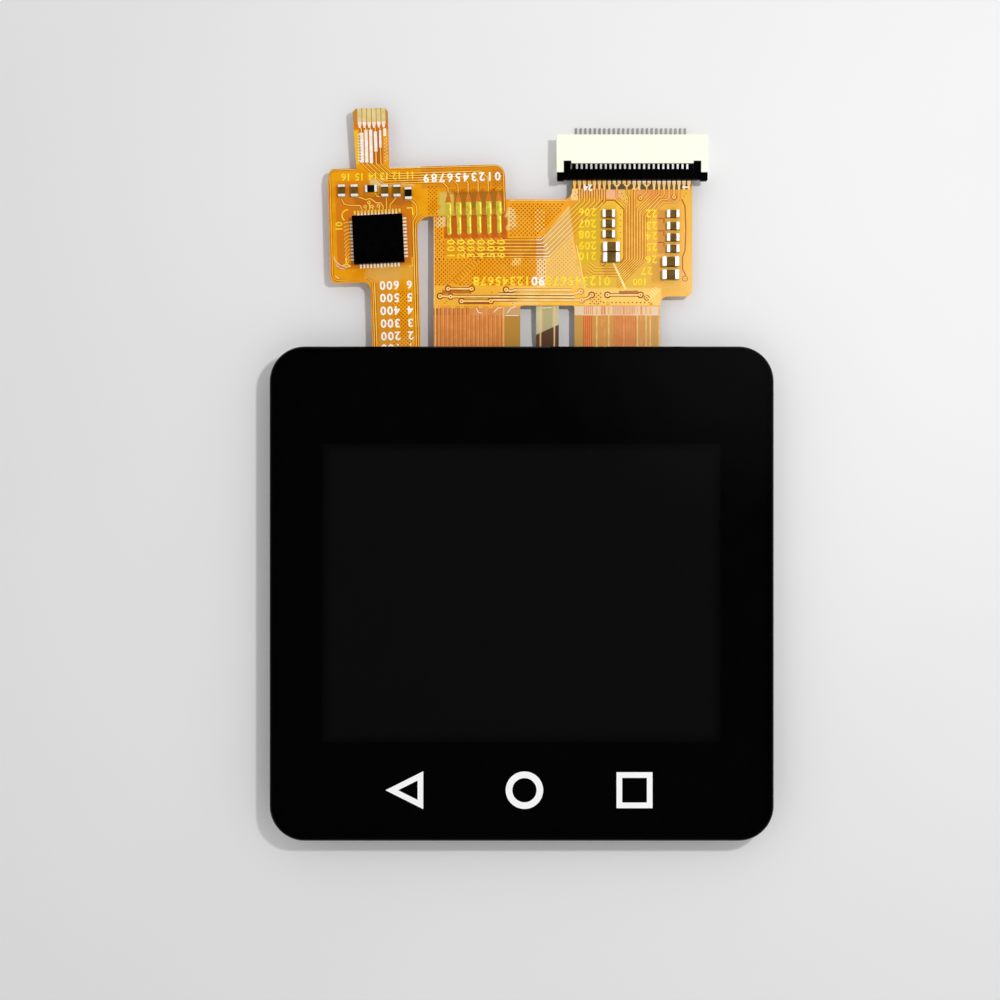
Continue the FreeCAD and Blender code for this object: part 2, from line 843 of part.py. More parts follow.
def connector_housing():
    """The white housing: roof set back between two ears, contact slots and slider ways."""
    body = slab(housing_left, housing_right, ears_y, rear_y, 0, housing_h)
    cavity = slab(inner_left, inner_right, ears_y, rear_y - rear_wall, floor_t, roof_z)
    mouth = slab(inner_left, inner_right, ears_y, roof_y, roof_z, housing_h)
    cuts = [cavity, mouth] + anchor_recesses()
    tab_room = tab_w + 2 * slot_fit
    for x in (inner_left, inner_right - tab_room):
        cuts.append(slab(x, x + tab_room, ears_y, bar_high_y + tab_len + slot_fit,
                         roof_z - roof_t, housing_h))
    reach = contact_w / 2 + contact_slot_fit
    slot_low = rear_y - rear_wall - spine_setback - spine_len
    for x in contact_xs:
        cuts.append(slab(x - reach, x + reach, slot_low, rear_y, 0, rear_slot_h))
    body = body.cut(group(cuts))
    rib_low = bar_high_y + 2 * slot_fit
    rib_high = rear_y - rear_wall
    ribs = [slab(slot_left - guide_rib_w, slot_left, rib_low, rib_high, floor_t, roof_z - roof_t),
            slab(slot_right, slot_right + guide_rib_w, rib_low, rib_high, floor_t, roof_z - roof_t)]
    stops = [slab(inner_left, inner_left + hook_out, stop_y - hook_len, stop_y, floor_t, arm_high_z),
             slab(inner_right - hook_out, inner_right, stop_y - hook_len, stop_y, floor_t, arm_high_z)]
    return fused([body] + ribs + stops)


def contact_profile():
    """One stamped contact from the side: foot, spine, upper beam with its bump, lower beam."""
    spine_high = rear_y - rear_wall - spine_setback + foot_t
    spine_low = spine_high - spine_len
    tip = ears_y + beam_tip
    bump_high = ears_y + bump_y + bump_len
    bump_low = ears_y + bump_y
    beam_low = beam_top - beam_t
    low_beam = floor_t + contact_slot_fit
    return [(rear_y + foot_len, 0), (rear_y + foot_len, foot_t), (spine_high, foot_t),
            (spine_high, beam_top), (tip, beam_top), (tip, beam_low),
            (bump_low, display_top), (bump_high, display_top), (bump_high + beam_t, beam_low),
            (spine_low, beam_low), (spine_low, low_beam + beam_t),
            (bump_low, low_beam + beam_t), (bump_low, low_beam), (spine_low, low_beam),
            (spine_low, 0)]


def connector_contacts():
    """The row of stamped contacts."""
    profile = contact_profile()
    return group([side_profile(profile, x - contact_w / 2, x + contact_w / 2) for x in contact_xs])


def slider_grip(x0, x1, round_left):
    """A grip block at one end of the slider, with its outer front corner rounded."""
    low = ears_y - grip_front
    left_r = grip_round if round_left else 0.0
    right_r = 0.0 if round_left else grip_round
    corners = [(x0, low, left_r), (x1, low, right_r), (x1, ears_y - slot_fit, 0)]
    corners += [(x0, ears_y - slot_fit, 0)]
    return plate(corners, grip_low, slider_top - grip_low)


def slider_wedge():
    """The tongue under the flex that lifts it against the contacts; it thins to its tip."""
    top = window_low_z
    tip = bar_high_y + wedge_len
    profile = [(bar_high_y, top), (bar_high_y, top - wedge_t), (bar_high_y + wedge_len / 2, top - wedge_t)]
    profile += [(tip, top - wedge_t / 2), (tip, top)]
    return side_profile(profile, tongue_left + flex_side_fit, flex_right - flex_side_fit)


def slider_arm(side):
    """A side arm with the hook that stops the slider at the end of its travel."""
    wall = inner_left if side > 0 else inner_right
    outer = wall + side * (hook_out + slot_fit)
    inner = outer + side * arm_w
    hook = wall + side * slot_fit
    high = bar_high_y + arm_len
    arm = slab(min(outer, inner), max(outer, inner), bar_high_y, high, arm_low_z, arm_high_z)
    end = slab(min(hook, outer), max(hook, outer), hook_front_y, high, arm_low_z, arm_high_z)
    return [arm, end]


def connector_slider():
    """The black locking slider: a window for the flex, comb, wedge, grips and hooked arms."""
    left = inner_left + slot_fit
    right = inner_right - slot_fit
    frame_low = window_low_z - wedge_t
    upper = slab(left, right, bar_low_y, bar_high_y, window_high_z, slider_top)
    lower = slab(left, right, bar_low_y + frame_setback, bar_high_y, frame_low, window_high_z)
    bar = fused([upper, lower])
    opening = slab(slot_left, slot_right, bar_low_y, bar_high_y, window_low_z, window_high_z)
    comb = slab(slot_left + guide_rib_w, slot_right - guide_rib_w, bar_high_y, bar_high_y + comb_len,
                window_high_z, beam_top)
    notches = [slab(x - notch_w / 2, x + notch_w / 2, bar_high_y, bar_high_y + comb_len,
                    window_high_z, beam_top) for x in contact_xs]
    tab_low = roof_z - roof_t + slot_fit
    pieces = [bar.cut(opening), comb.cut(group(notches)), slider_wedge()]
    pieces += [slider_grip(left - grip_w, left, True), slider_grip(right, right + grip_w, False)]
    for x in (left, right - tab_w):
        pieces.append(slab(x, x + tab_w, bar_high_y, bar_high_y + tab_len, tab_low, slider_top))
    pieces += slider_arm(1) + slider_arm(-1)
    return fused(pieces)


NODES = {
    "cover_glass": cover_glass,
    "ink_border": ink_border,
    "key_marks": lambda: group(key_marks()),
    "sensor_adhesive": sensor_adhesive,
    "touch_sensor": lambda: plate(lens_corners(sensor_inset), sensor_z, sensor_t),
    "panel_tape": panel_tape,
    "front_polariser": lambda: cell_sheet(polariser_inset, cell_high_y, front_polariser_z, polariser_t),
    "colour_filter_glass": lambda: cell_sheet(0, cell_high_y, filter_z, cell_glass_t),
    "cell_seal": cell_seal,
    "array_glass": lambda: cell_sheet(0, array_high_y, array_z, cell_glass_t),
    "display_driver_chip": driver_chip,
    "rear_polariser": lambda: cell_sheet(polariser_inset, cell_high_y, rear_polariser_z, polariser_t),
    "upper_prism_sheet": lambda: optical_film(2 * film_step, upper_prism_z, prism_t),
    "lower_prism_sheet": lambda: optical_film(film_step, lower_prism_z, prism_t),
    "diffuser_sheet": lambda: optical_film(0, diffuser_z, diffuser_t),
    "light_guide": light_guide,
    "reflector_sheet": reflector,
    "backlight_flex": backlight_flex,
    "backlight_leds": backlight_lamps,
    "rim_tape": rim_tape,
    "backlight_frame": backlight_frame,
    "back_cover": back_cover,
    "display_flex": display_flex,
    "flex_stiffener": flex_stiffener,
    "small_capacitor_bodies": lambda: capacitor_bodies(small_cap_left + small_cap_right, small_cap_size),
    "small_capacitor_terminals": lambda: capacitor_terminals(small_cap_left + small_cap_right,
                                                             small_cap_size),
    "large_capacitor_bodies": lambda: capacitor_bodies(large_cap_left + large_cap_right, large_cap_size),
    "large_capacitor_terminals": lambda: capacitor_terminals(large_cap_left + large_cap_right,
                                                             large_cap_size),
    "touch_flex": touch_flex,
    "touch_tail_stiffener": tail_stiffener,
    "touch_tail_fingers": tail_fingers,
    "touch_chip": touch_chip,
    "touch_chip_pads": touch_chip_pads,
    "touch_capacitor_bodies": touch_capacitor_bodies,
    "touch_resistor_bodies": touch_resistor_bodies,
    "touch_part_terminals": touch_part_terminals,
    "solder_joints": solder_joints,
    "connector_housing": connector_housing,
    "connector_slider": connector_slider,
    "connector_contacts": connector_contacts,
    "connector_anchor_tabs": anchor_tabs,
}


def main():
    """Writes one STEP file for each node."""
    os.makedirs("parts", exist_ok=True)
    for name, build in NODES.items():
        build().exportStep("parts/" + name + ".step")


main()
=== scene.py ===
"""The looks of a small touch display module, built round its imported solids.

Lengths are written in millimetres and become metres where a mesh is made. Colours are written as
they show on screen, each channel from 0 to 255. Places on the display flex are measured across the
screen and up from the lens's upper edge. Places on the touch flex are in its own leaning axes, whose
zero is on the same edge.
"""

import json
import logging
import math
from dataclasses import dataclass, field
from enum import Enum

import bmesh
import bpy
from mathutils import Matrix, Vector

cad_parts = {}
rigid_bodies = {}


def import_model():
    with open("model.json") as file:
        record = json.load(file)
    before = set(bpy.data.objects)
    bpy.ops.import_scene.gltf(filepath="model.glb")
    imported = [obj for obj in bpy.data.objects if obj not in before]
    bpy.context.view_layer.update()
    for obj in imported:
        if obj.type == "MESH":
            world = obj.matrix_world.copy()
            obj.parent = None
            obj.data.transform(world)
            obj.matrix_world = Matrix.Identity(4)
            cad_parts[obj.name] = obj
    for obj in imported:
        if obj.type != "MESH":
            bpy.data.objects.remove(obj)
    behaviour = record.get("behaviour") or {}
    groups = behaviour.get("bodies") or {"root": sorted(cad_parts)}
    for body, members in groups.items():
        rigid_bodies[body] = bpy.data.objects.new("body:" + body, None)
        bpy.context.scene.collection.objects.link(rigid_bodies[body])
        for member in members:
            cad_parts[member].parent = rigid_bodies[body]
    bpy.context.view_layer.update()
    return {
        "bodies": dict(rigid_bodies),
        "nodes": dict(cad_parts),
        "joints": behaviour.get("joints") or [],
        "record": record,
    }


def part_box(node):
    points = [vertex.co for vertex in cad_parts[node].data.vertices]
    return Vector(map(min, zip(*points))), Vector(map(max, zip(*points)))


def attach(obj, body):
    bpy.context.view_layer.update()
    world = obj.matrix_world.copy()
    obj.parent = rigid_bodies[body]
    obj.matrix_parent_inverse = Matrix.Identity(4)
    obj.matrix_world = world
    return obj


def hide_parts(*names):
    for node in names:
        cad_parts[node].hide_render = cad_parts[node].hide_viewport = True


MM = 0.001
BODY = "module"  # what every piece made here rides on
HALF_CONTACT = 0.1  # half of a connector contact's width
BOLD = 0.026  # how much the print's strokes grow, as a share of the type's size

TOUCH_X = -13.0  # where the touch flex's axes have their zero
TOUCH_LEAN = 1.6  # and how far they are turned, in degrees
JOINTS = 6  # solder joints between the two flexes
JOINT_PITCH = 1.05  # from one to the next
JOINT_X = 5.80  # the first joint, in the touch flex's axes
LOG = logging.getLogger("display_module")

Point = tuple[float, float]
Path = list[Point]
Tint = tuple[int, int, int]


def linear_colour(tint: Tint) -> tuple[float, ...]:
    """Turns a screen colour into the linear colour that shaders take.

    Args:
        tint: Red, green and blue, each from 0 to 255.

    Returns:
        The linear colour with full opacity.
    """
    def linear(value: int) -> float:
        """One channel, by the screen's standard curve."""
        share = value / 255
        return share / 12.92 if share <= 0.04045 else ((share + 0.055) / 1.055) ** 2.4
    return (*map(linear, tint), 1.0)


class Turn(Enum):
    """How a printed number is turned on its flex, in degrees."""

    INVERTED = 180.0
    UPWARD = 90.0


class Level(Enum):
    """How high each layer of a flex's artwork stands, in millimetres."""

    GAP = 0.005
    SEAM = 0.008
    COPPER = 0.011
    PAD = 0.014
    DRILL = 0.017
    PRINT = 0.020


class Num:
    """A shader value on which Python's operators add Math nodes."""

    def __init__(self, graph: "Graph", socket: bpy.types.NodeSocket) -> None:
        """Wraps one output socket of a graph."""
        self.graph = graph
        self.socket = socket

    def __add__(self, other: "Num | float") -> "Num":
        """Sum."""
        return self.graph.math("ADD", self, other)

    def __sub__(self, other: "Num | float") -> "Num":
        """Difference."""
        return self.graph.math("SUBTRACT", self, other)

    def __rsub__(self, other: float) -> "Num":
        """Difference from a number."""
        return self.graph.math("SUBTRACT", other, self)

    def __mul__(self, other: "Num | float") -> "Num":
        """Product."""
        return self.graph.math("MULTIPLY", self, other)

    def __truediv__(self, other: "Num | float") -> "Num":
        """Quotient."""
        return self.graph.math("DIVIDE", self, other)

    __radd__ = __add__
    __rmul__ = __mul__

    def least(self, other: "Num | float") -> "Num":
        """The smaller of two values."""
        return self.graph.math("MINIMUM", self, other)

    def most(self, other: "Num | float") -> "Num":
        """The larger of two values."""
        return self.graph.math("MAXIMUM", self, other)

    def size(self) -> "Num":
        """The value without its sign."""
        return self.graph.math("ABSOLUTE", self)

    def root(self) -> "Num":
        """The square root."""
        return self.graph.math("SQRT", self)

    def ramp(self, start: float, end: float, low: float = 0.0, high: float = 1.0) -> "Num":
        """A smooth change from low at start to high at end.

        Args:
            start: Where the change begins.
            end: Where it is complete; it may be lower than start.
            low: The value at start.
            high: The value at end.

        Returns:
            The value after the change.
        """
        node = self.graph.node("ShaderNodeMapRange", {"interpolation_type": "SMOOTHSTEP"}, {
            "Value": self, "From Min": start, "From Max": end, "To Min": low, "To Max": high})
        return Num(self.graph, node.outputs["Result"])


class NodeTree:
    """A node tree to which nodes are added in one call each."""

    tree: bpy.types.NodeTree

    def node(self, kind: str, settings: dict | None = None, sockets: dict | None = None) -> bpy.types.Node:
        """Adds a node.

        Args:
            kind: The node's type name.
            settings: Properties that are set first, such as an operation.
            sockets: Values or links by the input's name or number.

        Returns:
            The new node.
        """
        made = self.tree.nodes.new(kind)
        for key, value in (settings or {}).items():
            setattr(made, key, value)
        for key, value in (sockets or {}).items():
            source = value.socket if isinstance(value, Num) else value
            if isinstance(source, bpy.types.NodeSocket):
                self.tree.links.new(source, made.inputs[key])
            else:
                made.inputs[key].default_value = source
        return made


class Graph(NodeTree):
    """The shader tree of one material, or of the surroundings."""

    def __init__(self, owner: bpy.types.Material | bpy.types.World) -> None:
        """Empties the owner's tree.

        Args:
            owner: The material or the world that holds the tree.
        """
        self.owner = owner
        self.owner.use_nodes = True
        self.tree = self.owner.node_tree
        self.tree.nodes.clear()

    def math(self, operation: str, *values: "Num | float") -> Num:
        """One Math node on up to three values."""
        made = self.node("ShaderNodeMath", {"operation": operation}, dict(enumerate(values)))
        return Num(self, made.outputs[0])

    def mix(self, share: "Num | float", first: object, second: object) -> bpy.types.NodeSocket:
        """Blends two colours.

        Args:
            share: How much of the second colour shows.
            first: A colour or a colour socket.
            second: A colour or a colour socket.

        Returns:
            The blended colour's socket.
        """
        made = self.node("ShaderNodeMix", {"data_type": "RGBA"}, {0: share, 6: first, 7: second})
        return made.outputs[2]

    def place(self, origin: Vector | None = None, lean: float = 0.0) -> bpy.types.NodeSocket:
        """The shaded point in millimetres.

        Args:
            origin: Where the axes' zero lies, in millimetres.
            lean: How far the axes are turned, in degrees.

        Returns:
            A vector socket in those axes.
        """
        where = self.node("ShaderNodeTexCoord").outputs["Object"]
        zero = (origin or Vector((0, 0, 0))) * MM
        made = self.node("ShaderNodeMapping", {"vector_type": "TEXTURE"},
                         {"Vector": where, "Location": zero, "Rotation": (0, 0, math.radians(lean)),
                          "Scale": (MM, MM, MM)})
        return made.outputs["Vector"]

    def axes(self, place: bpy.types.NodeSocket) -> list[Num]:
        """The three coordinates of a vector."""
        made = self.node("ShaderNodeSeparateXYZ", None, {"Vector": place})
        return [Num(self, output) for output in made.outputs]

    def noise(self, place: bpy.types.NodeSocket, grain: float, detail: float = 3.0) -> Num:
        """Noise whose blobs are about grain millimetres across.

        Args:
            place: The axes that it lies in.
            grain: Size of its blobs, in millimetres.
            detail: How fine it goes.

        Returns:
            The noise, about 0.5 in the mean.
        """
        made = self.node("ShaderNodeTexNoise", None,
                         {"Vector": place, "Scale": 1 / grain, "Detail": detail})
        return Num(self, made.outputs["Fac"])

    def bump(self, height: Num, depth: float) -> bpy.types.NodeSocket:
        """A Bump node of that depth in millimetres.

        Args:
            height: The pattern.
            depth: Its depth, in millimetres.

        Returns:
            The bent normal's socket.
        """
        made = self.node("ShaderNodeBump", None,
                         {"Height": height, "Distance": depth * MM, "Strength": 1.0})
        return made.outputs["Normal"]

    def surface(self, shader: bpy.types.NodeSocket) -> bpy.types.Material:
        """Ends the tree with this shader and returns the material."""
        self.node("ShaderNodeOutputMaterial", None, {"Surface": shader})
        return self.owner


@dataclass(frozen=True)
class Finish:
    """A finish whose tint drifts a little over the surface, with fine grain.

    Attributes:
        tint: The main colour.
        drift: The colour that it drifts to.
        patch: Size of the drift's patches, in millimetres.
        rough: Mean roughness.
        rough_swing: How far the roughness swings about its mean.
        grain: Size of the grain, in millimetres.
        depth: Depth of the grain's bump, in millimetres.
        stretch: How much longer the grain is along X than across it.
        metal: Metallic share.
        shine: Strength of the mirror reflection of a non-metal.
        coat: Clear coat.
    """

    tint: Tint
    drift: Tint
    patch: float = 3.0
    rough: float = 0.5
    rough_swing: float = 0.08
    grain: float = 0.12
    depth: float = 0.002
    stretch: float = 1.0
    metal: float = 0.0
    shine: float = 0.5
    coat: float = 0.0

    def colour(self, graph: Graph, place: bpy.types.NodeSocket) -> bpy.types.NodeSocket:
        """The colour over the surface."""
        share = graph.noise(place, self.patch).ramp(0.35, 0.65)
        return graph.mix(share, linear_colour(self.tint), linear_colour(self.drift))

    def where(self, graph: Graph) -> bpy.types.NodeSocket:
        """The axes that the pattern follows."""
        return graph.place()

    def shader(self, graph: Graph) -> bpy.types.NodeSocket:
        """Builds the Principled shader of the finish.

        Args:
            graph: The tree that it is built in.

        Returns:
            The shader's socket.
        """
        place = self.where(graph)
        along = graph.node("ShaderNodeVectorMath", {"operation": "MULTIPLY"},
                           {0: place, 1: (1 / self.stretch, 1.0, 1.0)}).outputs[0]
        grain = graph.noise(along, self.grain)
        rough = (grain - 0.5) * (2 * self.rough_swing) + self.rough
        made = graph.node("ShaderNodeBsdfPrincipled", None, {
            "Base Color": self.colour(graph, place), "Roughness": rough, "Metallic": self.metal,
            "Specular IOR Level": self.shine, "Coat Weight": self.coat,
            "Normal": graph.bump(grain, self.depth)})
        return made.outputs[0]

    def make(self, name: str) -> bpy.types.Material:
        """Makes the material."""
        graph = Graph(bpy.data.materials.new(name))
        return graph.surface(self.shader(graph))


@dataclass(frozen=True)
class Patch:
    """A patch of another colour on a flex, in the flex's own axes and in millimetres.

    Attributes:
        left: Lowest X.
        right: Highest X.
        low: Lowest Y.
        high: Highest Y.
        tint: The patch's colour.
        soft: Width of its edge.
        share: How far it covers what is below.
        ragged: How far its edge wanders.
        slant: How far its X shifts for each millimetre up.
        tilt: How far its Y shifts for each millimetre across.
    """

    left: float
    right: float
    low: float
    high: float
    tint: Tint
    soft: float = 0.1
    share: float = 1.0
    ragged: float = 0.0
    slant: float = 0.0
    tilt: float = 0.0

    def mask(self, x: Num, y: Num, wander: Num) -> Num:
        """Where the patch shows.

        Args:
            x: The point's X.
            y: The point's Y.
            wander: Noise that moves the edge, zero in the mean.

        Returns:
            The mask, from 0 to the patch's share.
        """
        if self.ragged:
            x = x + wander * self.ragged
            y = y + wander * self.ragged
        if self.slant:
            x = x - (y - self.low) * self.slant
        if self.tilt:
            y = y - (x - self.left) * self.tilt
        half = self.soft / 2
        across = x.ramp(self.left - half, self.left + half) * x.ramp(self.right + half, self.right - half)
        along = y.ramp(self.low - half, self.low + half) * y.ramp(self.high + half, self.high - half)
        return across * along * self.share


@dataclass(frozen=True)
class FlexFinish(Finish):
    """The glossy cover film of a flex over its copper, with patches of other colours."""

    origin: Vector = field(default_factory=lambda: Vector((0, 0, 0)))
    lean: float = 0.0
    patches: tuple[Patch, ...] = ()
    wander_size: float = 0.9

    def where(self, graph: Graph) -> bpy.types.NodeSocket:
        """The flex's own axes."""
        return graph.place(self.origin, self.lean)

    def colour(self, graph: Graph, place: bpy.types.NodeSocket) -> bpy.types.NodeSocket:
        """The film's colour with its patches laid over it in order.

        Args:
            graph: The tree that it is built in.
            place: The flex's own axes.

        Returns:
            The colour's socket.
        """
        shown = super().colour(graph, place)
        x, y, _ = graph.axes(place)
        wander = graph.noise(place, self.wander_size) - 0.5
        for patch in self.patches:
            shown = graph.mix(patch.mask(x, y, wander), shown, linear_colour(patch.tint))
        return shown


@dataclass(frozen=True)
class LensFinish(Finish):
    """Clear glass over print: it shows what is bonded behind it, and its rim is dark.

    Attributes:
        middle: The lens's middle in plan, in millimetres.
        half: Half of its width and height.
        corner: Its corner radius.
        rim: Width of the rim that no print backs.
        index: The glass's index of refraction.
    """

    middle: Vector = field(default_factory=lambda: Vector((0, 0, 0)))
    half: Point = (1.0, 1.0)
    corner: float = 1.0
    rim: float = 0.3
    index: float = 1.5

    def make(self, name: str) -> bpy.types.Material:
        """Mixes clear glass with the dark glass of the rim and the ground edge.

        Args:
            name: The material's name.

        Returns:
            The material.
        """
        graph = Graph(bpy.data.materials.new(name))
        x, y, _ = graph.axes(graph.place(self.middle))
        across = x.size() - (self.half[0] - self.corner)
        along = y.size() - (self.half[1] - self.corner)
        outer = (across.most(0) * across.most(0) + along.most(0) * along.most(0)).root()
        inside = outer + across.most(along).least(0) - self.corner
        surface = graph.node("ShaderNodeNewGeometry")
        facing = graph.axes(surface.outputs["Normal"])[2].size()
        dark = inside.ramp(-self.rim, -self.rim * 0.8).most(facing.ramp(0.95, 0.9))
        bare = graph.node("ShaderNodeBsdfTransparent")
        gloss = graph.node("ShaderNodeBsdfGlossy", None, {"Roughness": self.rough})
        fresnel = Num(graph, graph.node("ShaderNodeFresnel", None, {"IOR": self.index}).outputs[0])
        mirror = fresnel * (1 - Num(graph, surface.outputs["Backfacing"]))
        clear = graph.node("ShaderNodeMixShader", None,
                           {0: mirror, 1: bare.outputs[0], 2: gloss.outputs[0]})
        edge = graph.node("ShaderNodeMixShader", None,
                          {0: dark, 1: clear.outputs[0], 2: self.shader(graph)})
        return graph.surface(edge.outputs[0])


NEAR_BLACK = (8, 8, 9)

FINISHES: dict[str, Finish] = {
    "black_ink": Finish((3, 3, 3), (4, 4, 4), rough=0.6, shine=0.0, depth=0.0),
    "white_ink": Finish((255, 255, 255), (253, 253, 253), rough=0.6, shine=0.0, depth=0.0),
    "sensor_film": Finish((13, 13, 14), (16, 16, 17), patch=8.0, rough=0.25, shine=0.3, depth=0.0),
    "foam_tape": Finish((16, 16, 16), (22, 22, 22), rough=0.9, grain=0.08, depth=0.01),
    "polariser_film": Finish((12, 12, 12), (13, 13, 13), patch=9.0, shine=0.1, depth=0.0),
    "cell_glass": Finish((44, 52, 52), (52, 60, 58), rough=0.08, rough_swing=0.03, depth=0.0),
    "cell_glue": Finish((140, 124, 92), (126, 108, 78), rough=0.6),
    "silicon": Finish((62, 62, 68), (70, 70, 78), rough=0.35, metal=0.3),
    "optical_film": Finish((224, 226, 230), (216, 219, 224), rough=0.35),
    "guide_acrylic": Finish((228, 232, 234), (220, 226, 230), rough=0.15),
    "reflector_film": Finish((244, 244, 243), (238, 238, 237), rough=0.6),
    "lamp_white": Finish((240, 232, 170), (245, 240, 205), rough=0.4),
    "frame_white": Finish((238, 238, 234), (230, 230, 225), rough=0.45, grain=0.2, depth=0.004),
    "cover_steel": Finish((186, 187, 189), (172, 173, 176), patch=7.0, rough=0.34, rough_swing=0.12,
                          grain=0.05, depth=0.0025, stretch=26.0, metal=0.92),
    "stiffener_film": Finish((176, 122, 44), (160, 106, 34), patch=2.0, rough=0.42, grain=0.07,
                             depth=0.003),
    "capacitor_brown": Finish((108, 80, 14), (92, 64, 10), patch=0.5, shine=0.12, grain=0.06, depth=0.003),
    "tinned_ends": Finish((253, 251, 248), (236, 233, 228), patch=0.3, rough=0.36, rough_swing=0.15,
                          grain=0.08, depth=0.006, metal=0.15, shine=0.8),
    "resistor_black": Finish((4, 4, 5), (9, 9, 9), patch=0.4, rough=0.4, shine=0.1),
    "chip_black": Finish((2, 2, 2), (4, 4, 4), patch=0.8, rough=0.4, shine=0.005, grain=0.05),
    "gilt_pads": Finish((236, 216, 150), (226, 202, 132), patch=0.9, rough=0.3, metal=0.1, shine=0.3),
    "chip_pads": Finish((255, 254, 246), (252, 242, 206), patch=0.35, rough=0.35),
    "pad_tail": Finish((255, 226, 96), (252, 206, 60), patch=0.4, rough=0.3),
    "pad_tail_pale": Finish((254, 240, 196), (248, 216, 132), patch=0.4, rough=0.3),
    "solder": Finish((226, 208, 66), (204, 182, 40), patch=0.4, rough=0.33, grain=0.25, metal=0.25,
                     shine=0.35),
    "solder_skirt": Finish((202, 172, 84), (184, 148, 60), patch=0.3, rough=0.3, metal=0.2),
    "joint_pad": Finish((228, 122, 18), (212, 108, 12), patch=0.6, rough=0.3),
    "housing_white": Finish((250, 250, 231), (246, 246, 226), shine=0.3, grain=0.15, depth=0.003),
    "slider_black": Finish((2, 2, 2), (4, 4, 4), patch=1.5, rough=0.3, shine=0.005, grain=0.09,
                           depth=0.003),
    "anchor_metal": Finish((232, 228, 228), (206, 202, 204), patch=0.6, rough=0.3, rough_swing=0.1,
                           metal=0.4, grain=0.06),
    "copper_line": Finish((255, 196, 80), (250, 178, 54), patch=1.1, rough=0.22, shine=0.25, depth=0.001),
    "sheen_line": Finish((255, 236, 158), (250, 218, 112), patch=0.5, rough=0.3),
    "pale_copper": Finish((255, 216, 140), (252, 200, 104), patch=0.9, rough=0.22, shine=0.3, depth=0.001),
    "bare_gap": Finish((196, 106, 10), (172, 84, 10), patch=1.4, rough=0.25, shine=0.2),
    # Bare gap under the painted sheen beside the crease.
    "sheen_gap": Finish((224, 172, 88), (212, 156, 72), patch=1.2, rough=0.25, shine=0.2),
    "deep_gap": Finish((138, 62, 16), (168, 88, 20), patch=0.9, rough=0.25, shine=0.2),
    "touch_gap": Finish((176, 90, 10), (148, 70, 8), patch=1.3, rough=0.25, shine=0.2),
    "tail_line": Finish((234, 152, 84), (222, 138, 66), patch=1.0, rough=0.25, shine=0.2),
    "tail_line_pale": Finish((244, 188, 116), (234, 168, 92), patch=1.0, rough=0.25, shine=0.2),
    "bright_line": Finish((255, 252, 246), (252, 232, 200), patch=0.45, rough=0.22, shine=0.9),
    "film_edge": Finish((242, 220, 168), (230, 196, 128), patch=0.8, rough=0.25),
    "white_print": Finish((255, 254, 248), (250, 244, 228), patch=0.6),
    "yellow_print": Finish((252, 224, 50), (244, 204, 36), patch=0.7, shine=0.2),
}


class Store:
    """Makes each material once and hands it out by name."""

    def __init__(self) -> None:
        """Starts with no material made."""
        self.made: dict[str, bpy.types.Material] = {}

    def add(self, name: str, finish: Finish) -> bpy.types.Material:
        """Makes a finish that is worked out from the frame."""
        self.made[name] = finish.make(name)
        return self.made[name]

    def get(self, name: str) -> bpy.types.Material:
        """The material of that name."""
        return self.made.get(name) or self.add(name, FINISHES[name])


class GeometryTree(NodeTree):
    """A Geometry Nodes tree that takes named inputs and ends in real, dressed geometry."""

    def __init__(self, name: str, inputs: dict[str, str]) -> None:
        """Makes the tree.

        Args:
            name: The tree's name.
            inputs: Socket type by input name, beside the geometry and the material.
        """
        self.tree = bpy.data.node_groups.new(name, "GeometryNodeTree")
        interface = self.tree.interface
        interface.new_socket("Geometry", in_out="INPUT", socket_type="NodeSocketGeometry")
        named = {**inputs, "Material": "NodeSocketMaterial"}
        self.keys = {key: interface.new_socket(key, in_out="INPUT", socket_type=kind).identifier
                     for key, kind in named.items()}
        interface.new_socket("Geometry", in_out="OUTPUT", socket_type="NodeSocketGeometry")
        self.input = self.tree.nodes.new("NodeGroupInput")

    def close(self, shape: bpy.types.NodeSocket) -> None:
        """Ends the tree: flat shading, real geometry, material.

        Args:
            shape: The geometry that the tree has made.
        """
        flat = self.node("GeometryNodeSetShadeSmooth", None, {"Geometry": shape, "Shade Smooth": False})
        real = self.node("GeometryNodeRealizeInstances", None, {"Geometry": flat.outputs[0]})
        dressed = self.node("GeometryNodeSetMaterial", None,
                            {"Geometry": real.outputs[0], "Material": self.input.outputs["Material"]})
        self.node("NodeGroupOutput", None, {0: dressed.outputs[0]})

    def run(self, seed: bpy.types.Mesh, values: dict[str, object]) -> bpy.types.Mesh:
        """Runs the tree on a mesh.

        Args:
            seed: The points or paths that the tree works from.
            values: Values by input name.

        Returns:
            The plain mesh that comes out.
        """
        carrier = bpy.data.objects.new("carrier", seed)
        bpy.context.scene.collection.objects.link(carrier)
        modifier = carrier.modifiers.new("tree", "NODES")
        modifier.node_group = self.tree
        for key, value in values.items():
            modifier[self.keys[key]] = value
        graph = bpy.context.evaluated_depsgraph_get()
        made = bpy.data.meshes.new_from_object(carrier.evaluated_get(graph))
        carrier.modifiers.remove(modifier)
        bpy.data.objects.remove(carrier)
        bpy.data.meshes.remove(seed)
        return made


class RibbonTree(GeometryTree):
    """Runs a flat bar along each path, for traces and printed strokes."""

    def __init__(self) -> None:
        """Builds the tree."""
        super().__init__("ribbon_along_path", {"Width": "NodeSocketFloat", "Height": "NodeSocketFloat"})
        line = self.node("GeometryNodeMeshToCurve", None, {"Mesh": self.input.outputs["Geometry"]})
        level = self.node("GeometryNodeSetCurveNormal", {"mode": "Z_UP"}, {"Curve": line.outputs[0]})
        bar = self.node("GeometryNodeCurvePrimitiveQuadrilateral", None,
                        {"Width": self.input.outputs["Width"], "Height": self.input.outputs["Height"]})
        swept = self.node("GeometryNodeCurveToMesh", None,
                          {"Curve": level.outputs[0], "Profile Curve": bar.outputs[0], "Fill Caps": True})
        self.close(swept.outputs[0])


